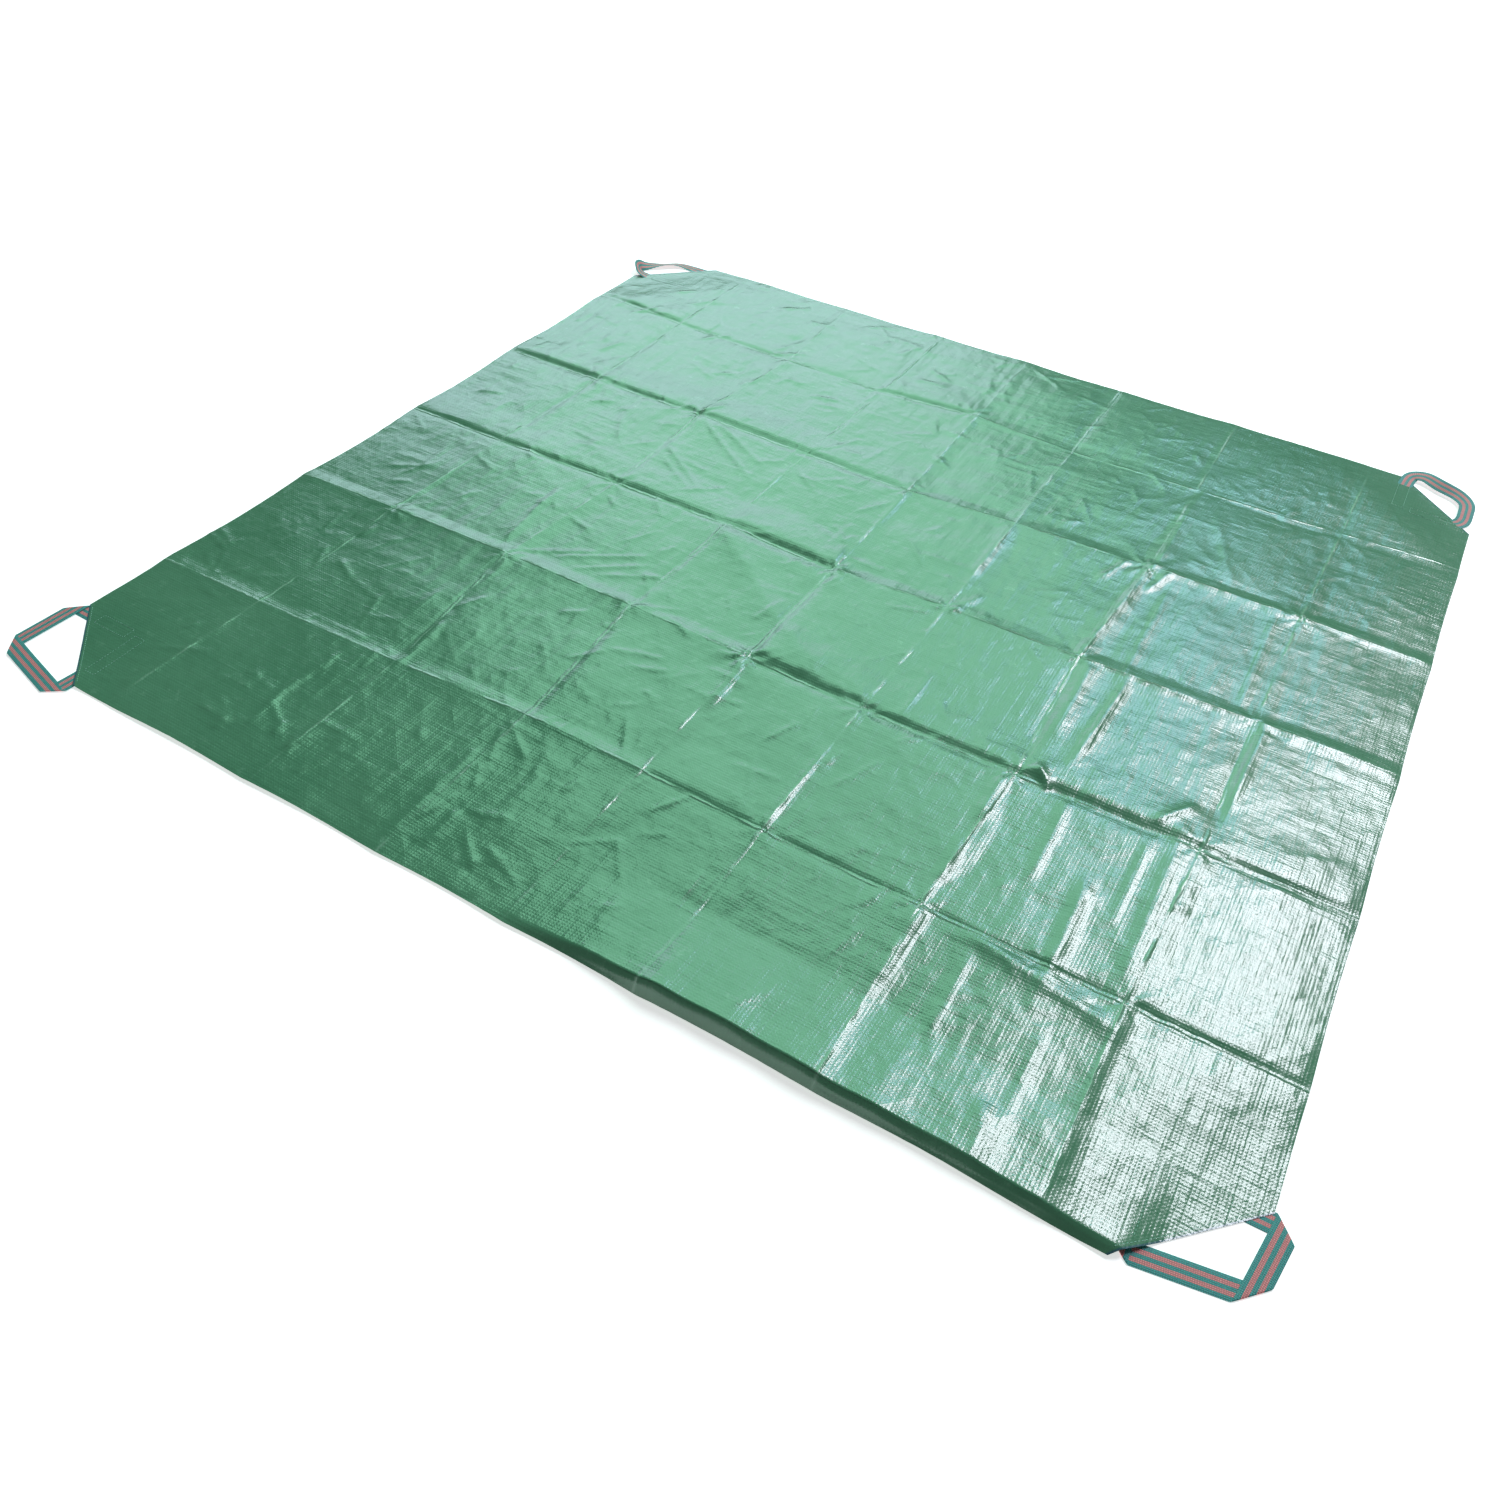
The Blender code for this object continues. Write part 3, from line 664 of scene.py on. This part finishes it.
# %% Corner flaps
for corner, signs in CORNERS.items():
    counts = nearby[signs]
    kept = (counts >= CUT_CELLS) & (counts <= FOLD_CELLS - 2)
    edges = (halves(signs, FOLD_CELLS - 1)[0], halves(signs, CUT_CELLS - 1)[1])
    piece = sheet_piece(f"{corner}_sheet", square[kept], np.concatenate(edges))
    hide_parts(f"{corner}_flap")
    start = Vector((signs[0] * 0.6, signs[1] * 0.56, 0.0))
    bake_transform(piece)

# %% [markdown]
# ## The webbing
# Each handle is one strap of polypropylene webbing, 30 mm wide, woven with two coral stripes
# in teal. Thick yarns give it cross ribs about 2.5 mm apart. Its ends are sewn under the sheet,
# and the front handles are folded over flat at each change of direction, as a paper strip is.

# %% Webbing surface
WEBBING_WIDTH = 0.030
WEBBING_THICKNESS = 0.0012
SIDE_POINTS = 15
side_places = np.sin(np.linspace(-np.pi / 2, np.pi / 2, SIDE_POINTS)) * WEBBING_WIDTH / 2


def close_strap(name, centre, lengths, material):
    """A strap from its middle surface (rows by side places): the surface moved half a thickness
    along its normal each way, thinned to nothing at the edges, and capped at both ends."""
    along, sideways = np.gradient(centre, axis=0), np.gradient(centre, axis=1)
    normal = np.cross(along, sideways)
    normal /= np.linalg.norm(normal, axis=2, keepdims=True)
    profile = (1.0 - np.abs(side_places / (WEBBING_WIDTH / 2)) ** 6) ** 0.5
    lift = normal * (WEBBING_THICKNESS / 2 * profile)[None, :, None]
    ring = np.concatenate((centre + lift, (centre - lift)[:, -2:0:-1]), axis=1)
    rows, around = ring.shape[:2]
    places = np.concatenate((side_places, side_places[-2:0:-1]))
    uv = np.dstack((np.concatenate((lengths, lengths[:, -2:0:-1]), axis=1),
                    np.tile(places / WEBBING_WIDTH + 0.5, (rows, 1))))
    first = (np.arange(rows - 1)[:, None] * around + np.arange(around)[None, :])
    step = (np.arange(rows - 1)[:, None] * around + (np.arange(around)[None, :] + 1) % around)
    faces = np.stack((first, first + around, step + around, step), axis=2).reshape(-1, 4).tolist()
    faces += [np.arange(around).tolist(), (np.arange(around)[::-1] + (rows - 1) * around).tolist()]
    piece = make_piece(name, ring.reshape(-1, 3), faces, material, uv=uv.reshape(-1, 2))
    return piece


# %% [markdown]
# The stripes are read across the strap's own UV map, in shares of its width, and the ribs
# along it, in metres, so both follow every fold. Painted shade darkens the grooves between ribs
# and a painted highlight lightens their tops, broken up by a noise for fraying yarns.

# %% Polypropylene webbing
RIB, YARN = 0.0026, 0.0022


def webbing(coral, teal):
    """Five stripes from a colour ramp across the strap, with painted shade between ribs and
    painted highlight on their tops, and rib relief.
    """
    material = bpy.data.materials.new("woven_polypropylene_webbing")
    material.use_nodes = True
    tree = material.node_tree
    shader = tree.nodes["Principled BSDF"]
    surface = node(tree, "ShaderNodeUVMap", uv_map="surface").outputs["UV"]
    parts = node(tree, "ShaderNodeSeparateXYZ", {"Vector": surface}).outputs
    stripes = node(tree, "ShaderNodeValToRGB", {"Fac": parts["Y"]})
    ramp = stripes.color_ramp
    ramp.interpolation = "CONSTANT"
    ramp.elements[0].position, ramp.elements[0].color = 0.0, teal
    ramp.elements[1].position, ramp.elements[1].color = 0.22, coral
    for place, colour in ((0.41, teal), (0.60, coral), (0.79, teal)):
        ramp.elements.new(place).color = colour
    metres = node(tree, "ShaderNodeMapping", {"Vector": surface,
                                              "Scale": (1.0, WEBBING_WIDTH, 1.0)}).outputs["Vector"]
    ribs = node(tree, "ShaderNodeTexWave", {"Vector": metres, "Scale": 1.0 / RIB / WAVE_REPEATS,
                                            "Distortion": 1.2, "Detail": 1.0,
                                            "Detail Scale": 2.0},
                bands_direction="X").outputs["Fac"]
    yarns = node(tree, "ShaderNodeTexWave", {"Vector": metres,
                                             "Scale": 1.0 / YARN / WAVE_REPEATS},
                 bands_direction="Y").outputs["Fac"]
    knobs = node(tree, "ShaderNodeMath", {0: ribs, 1: yarns}, operation="MULTIPLY").outputs["Value"]
    fray = node(tree, "ShaderNodeTexNoise", {"Vector": metres, "Scale": 900.0,
                                             "Detail": 3.0}).outputs["Fac"]
    # Painted shade and highlight: the rib pattern times the fray noise becomes a factor from 0.55
    # to 1.35 on the stripe colour.
    shade = node(tree, "ShaderNodeMath", {0: knobs, 1: fray}, operation="MULTIPLY").outputs["Value"]
    shade = node(tree, "ShaderNodeMapRange", {"Value": shade, "From Max": 0.5, "To Min": 0.55,
                                              "To Max": 1.35}).outputs["Result"]
    colour = node(tree, "ShaderNodeMix", {"Factor": 1.0, "A": stripes.outputs["Color"], "B": shade},
                  data_type="RGBA", blend_type="MULTIPLY").outputs["Result"]
    tree.links.new(colour, shader.inputs["Base Color"])
    bump = node(tree, "ShaderNodeBump", {"Strength": 0.8, "Distance": 0.0006, "Height": knobs})
    tree.links.new(bump.outputs["Normal"], shader.inputs["Normal"])
    shader.inputs["Roughness"].default_value = 0.50
    shader.inputs["IOR"].default_value = 1.49
    shader.inputs["Sheen Weight"].default_value = 0.15
    return material


webbing_material = webbing(linear("#ee8b8c"), linear("#379c99"))
print("material", webbing_material.name)


# %% [markdown]
# A flat strip folded over a line mirrors its far part across that line. So a strap is known
# from the corners of its middle line and the height of each run. At the fold it turns round a
# small half circle instead of creasing to nothing. First come the fold lines and the rows of
# points between them.

# %% Fold lines of a folded strap
FOLD_RADIUS = 0.0011
QUARTER = np.pi / 2 * FOLD_RADIUS    # length of a quarter turn round a fold


def fold_lines(ways, sides):
    """A fold line bisects the runs before and after it. Its slant is how far along the run it
    goes for one metre across, its outward way points from the bend, and its cross is the sine
    between line and run."""
    lines = ways[:-1] + ways[1:]
    lines /= np.linalg.norm(lines, axis=1, keepdims=True)
    slants = (lines * ways[:-1]).sum(1) / (lines * sides[:-1]).sum(1)
    cross = np.abs(lines[:, 0] * ways[:-1, 1] - lines[:, 1] * ways[:-1, 0])
    outwards = ways[:-1] - ways[1:]
    outwards /= np.linalg.norm(outwards, axis=1, keepdims=True)
    return slants, cross, outwards


def strap_rows(lengths, slants, cross):
    """Where the rows of points lie: the run of each, its distance along it and its slant, which
    changes evenly from the fold line before to the one after."""
    rows = []
    for run, length in enumerate(lengths):
        first, last = run == 0, run == len(lengths) - 1
        low = 0.0 if first else QUARTER / cross[run - 1]
        high = length if last else length - QUARTER / cross[run]
        slant_low = 0.0 if first else slants[run - 1]
        slant_high = 0.0 if last else slants[run]
        if not first:
            rows += [(run, share * low, slant_low) for share in (0.0, 0.25, 0.5, 0.75)]
        steps = max(6, int((high - low) / 0.004))
        rows += [(run, low + (high - low) * share, slant_low + (slant_high - slant_low) * share)
                 for share in np.linspace(0.0, 1.0, steps + 1)]
        if not last:
            rows += [(run, length - share * QUARTER / cross[run], slant_high)
                     for share in (0.75, 0.5, 0.25)]
    run, distance, slant = (np.array(column) for column in zip(*rows))
    return run.astype(int), distance, slant


print(f"a fold turns over {2 * QUARTER / MM:.1f} mm")

# %% Folded strap
SETTLE = 0.060                   # a run changes its height over this length


def folded_strap(points, heights):
    """Runs between the points, each with its height at both ends. Within a quarter turn of a
    fold line the strap goes out by r cos(d / r) and its height by half the step times
    sin(d / r)."""
    points, heights = np.array(points, float), np.array(heights, float)
    runs = np.diff(points, axis=0)
    lengths = np.hypot(*runs.T)
    ways = runs / lengths[:, None]
    turned_over = ((-1.0) ** np.arange(len(ways)))[:, None]
    sides = np.column_stack((-ways[:, 1], ways[:, 0])) * turned_over
    slants, cross, outwards = fold_lines(ways, sides)
    starts = np.concatenate(((0.0,), np.cumsum(lengths)))

    run, distance, slant = strap_rows(lengths, slants, cross)
    along = distance[:, None] + slant[:, None] * side_places[None, :]
    flat = (points[run][:, None, :] + along[:, :, None] * ways[run][:, None, :]
            + side_places[None, :, None] * sides[run][:, None, :])
    share = ease(along / SETTLE)
    level = heights[run, 0][:, None] * (1.0 - share) + heights[run, 1][:, None] * share

    for fold, (low, high) in enumerate(zip(heights[:-1, 1], heights[1:, 0])):
        for side, sign in ((fold, -1.0), (fold + 1, 1.0)):
            chosen = run == side
            away = -((flat[chosen] - points[fold + 1]) @ outwards[fold])
            near = (away < QUARTER) & (away > -QUARTER)
            d = sign * np.clip(away, 0.0, QUARTER)
            out = FOLD_RADIUS * np.cos(d / FOLD_RADIUS) - QUARTER + np.abs(d)
            turned = (low + high) / 2 + (high - low) / 2 * np.sin(d / FOLD_RADIUS)
            flat[chosen] += np.where(near, out, 0.0)[:, :, None] * outwards[fold]
            level[chosen] = np.where(near, turned, level[chosen])
    return np.dstack((flat, level)), starts[run][:, None] + along


# %% [markdown]
# The back handles are stiffer and stand partly on edge, so they turn in smooth curves. There a
# curve runs through a few places, and at each the strap banks by its own angle.

# %% Curved strap
def through(places, count):
    """Catmull-Rom curve: each stretch is the cubic whose slope at a place is half the step
    between its neighbours."""
    places = np.array(places, float)
    ends = np.concatenate((2 * places[:1] - places[1:2], places, 2 * places[-1:] - places[-2:-1]))
    where = np.linspace(0.0, len(places) - 1 - 1e-9, count)
    part = where.astype(int)
    t = (where - part)[:, None]
    a, b, c, d = (ends[part + shift] for shift in range(4))
    return 0.5 * (2 * b + (c - a) * t + (2 * a - 5 * b + 4 * c - d) * t ** 2
                  + (3 * b - a - 3 * c + d) * t ** 3)


def curved_strap(keys, count=120):
    """Keys are x, y, z and bank in degrees. The side direction is level and square to the curve,
    turned about it by the bank."""
    curve = through(keys, count)
    middle, bank = curve[:, :3], np.radians(curve[:, 3])[:, None]
    forward = np.gradient(middle, axis=0)
    forward /= np.linalg.norm(forward, axis=1, keepdims=True)
    level = np.cross((0.0, 0.0, 1.0), forward)
    level /= np.linalg.norm(level, axis=1, keepdims=True)
    side = level * np.cos(bank) + np.cross(forward, level) * np.sin(bank)
    surface = middle[:, None, :] + side_places[None, :, None] * side[:, None, :]
    steps = np.linalg.norm(np.diff(middle, axis=0), axis=1)
    lengths = np.concatenate(((0.0,), np.cumsum(steps)))
    return surface, np.repeat(lengths[:, None], len(side_places), axis=1)


# %% [markdown]
# Now the four handles. The front ones are one folded strap each, from the end under the side
# of the sheet to the end under its front edge. The back ones are a curved loop and two straight
# sewn ends that meet it under the sheet.

# %% Places of the handles
LOW = WEBBING_THICKNESS / 2 + 0.0001     # middle of a strap that lies on the floor
LAYER = 0.0016                           # from one layer of webbing to the next
OVER = LOW + LAYER
FOLDED = {                               # x, y of each corner, then the height of each run
    "front_left": (((-0.880, -0.827), (-1.012, -0.825), (-1.017, -0.947), (-0.866, -0.985),
                    (-0.8585, -0.822)),
                   ((LOW, LOW), (OVER, OVER), (OVER + LAYER, OVER), (OVER, LOW))),
    "front_right": (((0.880, -0.827), (1.016, -0.822), (1.001, -0.918), (0.857, -0.945),
                     (0.8525, -0.822)),
                    ((LOW, LOW), (OVER, OVER), (LOW, LOW), (OVER, LOW))),
}
CURVED = {                               # x, y, height and bank in degrees
    "back_left": ((-0.930, 0.827, LOW, 0), (-0.965, 0.827, LOW, 0), (-0.990, 0.828, 0.005, 16),
                  (-1.004, 0.836, 0.012, 48), (-1.008, 0.850, 0.012, 48),
                  (-0.998, 0.870, 0.0065, 12), (-0.970, 0.901, 0.006, -16),
                  (-0.940, 0.926, 0.004, -10), (-0.900, 0.932, LOW, 0), (-0.8425, 0.932, LOW, 0)),
    "back_right": ((0.930, 0.827, LOW, 0), (0.962, 0.829, LOW, 0), (0.980, 0.845, 0.004, 4),
                   (0.982, 0.878, 0.008, 0), (0.978, 0.908, 0.011, -10),
                   (0.957, 0.932, 0.012, -20), (0.922, 0.947, 0.013, -25),
                   (0.888, 0.966, 0.012, -15), (0.864, 0.960, 0.006, -5), (0.857, 0.915, LOW, 0)),
}
SEWN_ENDS = {                            # start and end of each straight end under the sheet
    "back_left": {"side": ((-0.880, 0.827), (-0.930, 0.827)),
                  "edge": ((-0.8575, 0.820), (-0.8575, 0.917))},
    "back_right": {"side": ((0.880, 0.827), (0.930, 0.827)),
                   "edge": ((0.8575, 0.820), (0.8575, 0.915))},
}
print("handles:", *FOLDED, *CURVED)

# %% Handles
def place_strap(piece, corner, *replaced):
    """Hide the frame parts that the strap replaces and bake its place into its points.
    The corner is not used.
    """
    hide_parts(*replaced)
    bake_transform(piece)


for corner, (points, heights) in FOLDED.items():
    surface, lengths = folded_strap(points, heights)
    strap = close_strap(f"{corner}_strap", surface, lengths, webbing_material)
    place_strap(strap, corner, f"{corner}_handle", f"{corner}_side_tail", f"{corner}_edge_tail")
    print(strap.name, f"{lengths.max():.3f} m")
for corner, keys in CURVED.items():
    surface, lengths = curved_strap(keys)
    strap = close_strap(f"{corner}_strap", surface, lengths, webbing_material)
    place_strap(strap, corner, f"{corner}_handle")
    print(strap.name, f"{lengths.max():.3f} m")
    for name, (start, end) in SEWN_ENDS[corner].items():
        surface, lengths = curved_strap(np.linspace((*start, LOW, 0), (*end, LOW, 0), 6), 24)
        end_piece = close_strap(f"{corner}_{name}_strap_end", surface, lengths, webbing_material)
        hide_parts(f"{corner}_{name}_tail")
        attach(end_piece, f"{corner}_corner")

# %% [markdown]
# ## Stitching
# Box stitches hold the strap's ends and one row runs along the hem of each cut corner. Each
# stitch is a short rounded dash of pale thread that lies on the sheet, a few dozen faces each,
# and all of a corner's stitches are one mesh.

# %% Stitches
STITCH, STITCH_GAP, THREAD = 0.0034, 0.0016, 0.0009
STITCH_LIFT = 0.0002
DASH_RING = 6                    # points round a dash
dash_shares = np.array((-0.97, -0.7, 0.0, 0.7, 0.97))


def height_at(x, y):
    """The sheet's height at any place, weighted between the four grid points around it."""
    column = np.clip((x - left_edge) / CELL, 0, ACROSS - 1e-6)
    row = np.clip((y - front_edge) / CELL, 0, BACK - 1e-6)
    i, j = column.astype(int), row.astype(int)
    s, t = column - i, row - j
    near = height[j, i] * (1 - s) + height[j, i + 1] * s
    far = height[j + 1, i] * (1 - s) + height[j + 1, i + 1] * s
    return near * (1 - t) + far * t


def stitch_rows(lines):
    """Middles and directions of dashes set along each line, as many as fit."""
    middles, ways = [], []
    for start, end in lines:
        start, end = np.array(start), np.array(end)
        length = np.linalg.norm(end - start)
        count = max(1, int(length / (STITCH + STITCH_GAP)))
        shares = (np.arange(count) + 0.5) / count
        middles.append(start + shares[:, None] * (end - start))
        ways.append(np.tile((end - start) / length, (count, 1)))
    return np.concatenate(middles), np.concatenate(ways)


def dashes(middles, ways):
    """Every dash at once: five rings of six points along it, whose radius is the root of one
    minus the squared share of its half length, pressed to 0.6 of their height."""
    turn = np.arange(DASH_RING) * 2 * np.pi / DASH_RING
    radius = THREAD / 2 * np.sqrt(1.0 - (dash_shares * 0.95) ** 2)
    along = dash_shares * STITCH / 2
    beside = radius[:, None] * np.cos(turn)[None, :]
    up = 0.6 * radius[:, None] * np.sin(turn)[None, :]
    side = np.column_stack((-ways[:, 1], ways[:, 0]))
    plan = (middles[:, None, None, :] + along[None, :, None, None] * ways[:, None, None, :]
            + beside[None, :, :, None] * side[:, None, None, :])
    z = height_at(plan[..., 0], plan[..., 1]) + STITCH_LIFT + up[None]
    points = np.concatenate((plan, z[..., None]), axis=3).reshape(-1, 3)
    around, last = np.arange(DASH_RING), (len(dash_shares) - 1) * DASH_RING
    ring = np.arange(0, last, DASH_RING)[:, None] + around
    step = np.arange(0, last, DASH_RING)[:, None] + (around + 1) % DASH_RING
    quads = np.stack((ring, step, step + DASH_RING, ring + DASH_RING), axis=2).reshape(-1, 4)
    caps = [around[::-1], around + last]
    offsets = np.arange(len(middles)) * (last + DASH_RING)
    faces = (quads[None] + offsets[:, None, None]).reshape(-1, 4).tolist()
    for cap in caps:
        faces += (cap[None] + offsets[:, None]).tolist()
    return points, faces


def box(low, high):
    """The four sides of a rectangle."""
    (a, b), (c, d) = low, high
    return [((a, b), (c, b)), ((c, b), (c, d)), ((c, d), (a, d)), ((a, d), (a, b))]


def polyester_thread():
    """Pale green spun thread, a little lighter and darker along its length."""
    material = bpy.data.materials.new("polyester_thread")
    material.use_nodes = True
    tree = material.node_tree
    shader = tree.nodes["Principled BSDF"]
    place = node(tree, "ShaderNodeTexCoord").outputs["Object"]
    noise = node(tree, "ShaderNodeTexNoise", {"Vector": place, "Scale": 400.0}).outputs["Fac"]
    ramp = node(tree, "ShaderNodeValToRGB", {"Fac": noise})
    ramp.color_ramp.elements[0].color = linear("#6fae96")
    ramp.color_ramp.elements[1].color = linear("#a9d3c2")
    tree.links.new(ramp.outputs["Color"], shader.inputs["Base Color"])
    shader.inputs["Roughness"].default_value = 0.5
    return material


print(f"stitches {STITCH / MM:.1f} mm long")

# %% Sew the corners
SIDE_BOX = ((0.883, 0.816), (0.955, 0.838))
EDGE_BOX = ((0.8465, 0.826), (0.8685, 0.925))
HEM_LINE = ((0.9905, 0.8125), (0.8525, 0.9505))
thread_material = polyester_thread()
for corner, signs in CORNERS.items():
    lines = [[(signs[0] * x, signs[1] * y) for x, y in line]
             for line in box(*SIDE_BOX) + box(*EDGE_BOX) + [HEM_LINE]]
    points, faces = dashes(*stitch_rows(lines))
    piece = make_piece(f"{corner}_thread", points, faces, thread_material)
    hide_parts(f"{corner}_side_stitching", f"{corner}_edge_stitching",
                f"{corner}_hem_stitching")
    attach(piece, f"{corner}_corner")
    print(piece.name, len(faces), "faces")

# %% [markdown]
# ## Floor and light
# The floor is plain and white. Wide soft panels stand behind the sheet like windows, since the
# film only shows its creases where it mirrors something bright beside something dark.

# %% Floor
floor_mesh = bpy.data.meshes.new("floor")
HALF_FLOOR = 30
floor_mesh.from_pydata([(x * HALF_FLOOR, y * HALF_FLOOR, 0)
                        for x, y in ((-1, -1), (1, -1), (1, 1), (-1, 1))], [], [(0, 1, 2, 3)])
floor = bpy.data.objects.new("floor", floor_mesh)
floor_material = bpy.data.materials.new("matt_white_paint")
floor_material.use_nodes = True
floor_shader = floor_material.node_tree.nodes["Principled BSDF"]
floor_shader.inputs["Base Color"].default_value = linear("#f4f4f4")
floor_shader.inputs["Roughness"].default_value = 0.9
floor_shader.inputs["Emission Color"].default_value = linear("#ffffff")
floor_shader.inputs["Emission Strength"].default_value = 0.6
floor_mesh.materials.append(floor_material)
bpy.context.scene.collection.objects.link(floor)
bpy.context.scene.view_settings.view_transform = "Standard"

# %% Light
world = bpy.data.worlds.new("studio")
bpy.context.scene.world = world
world.use_nodes = True
world.node_tree.nodes["Background"].inputs["Color"].default_value = linear("#dfe6ea")
world.node_tree.nodes["Background"].inputs["Strength"].default_value = 0.15
MIRRORED = Vector((CAMERA_PLACE.x, CAMERA_PLACE.y, -CAMERA_PLACE.z))
FAR = 12.0                       # from there to each panel
PANELS = (                       # name, azimuth, elevation, half angles, radiance, colour
    ("bright_window", 80.5, 51.0, 7.5, 11.0, 22.0, "#f4f5ff"),
    ("blue_window", 94.0, 41.0, 4.0, 7.5, 9.5, "#b0eaff"),
    ("far_wall", 116.5, 43.5, 18.5, 13.5, 3.9, "#aeffd2"),
    ("low_sky", 123.5, 24.0, 17.0, 6.0, 3.6, "#d8f2ff"),
)


def panel(name, azimuth, elevation, half_wide, half_high, radiance, colour):
    """A rectangular light that faces the sheet. All angles are degrees seen from the camera's place
    mirrored in the floor, because that is how the film shows the panel. Its power is its radiance
    times pi times its area."""
    angles = np.radians((azimuth, elevation, half_wide, half_high))
    azimuth, elevation, half_wide, half_high = angles
    way = Vector((np.cos(azimuth) * np.cos(elevation), np.sin(azimuth) * np.cos(elevation),
                  np.sin(elevation)))
    width = 2 * FAR * np.cos(elevation) * np.tan(half_wide)
    height = 2 * FAR * np.tan(half_high)
    data = bpy.data.lights.new(name, "AREA")
    data.shape, data.size, data.size_y = "RECTANGLE", width, height
    data.energy, data.color = radiance * np.pi * width * height, linear(colour)[:3]
    lamp = bpy.data.objects.new(name, data)
    lamp.location = MIRRORED + way * FAR
    lamp.rotation_euler = way.to_track_quat("Z", "Y").to_euler()
    bpy.context.scene.collection.objects.link(lamp)
    print(name, f"{width:.1f} by {height:.1f} m")


for settings in PANELS:
    panel(*settings)
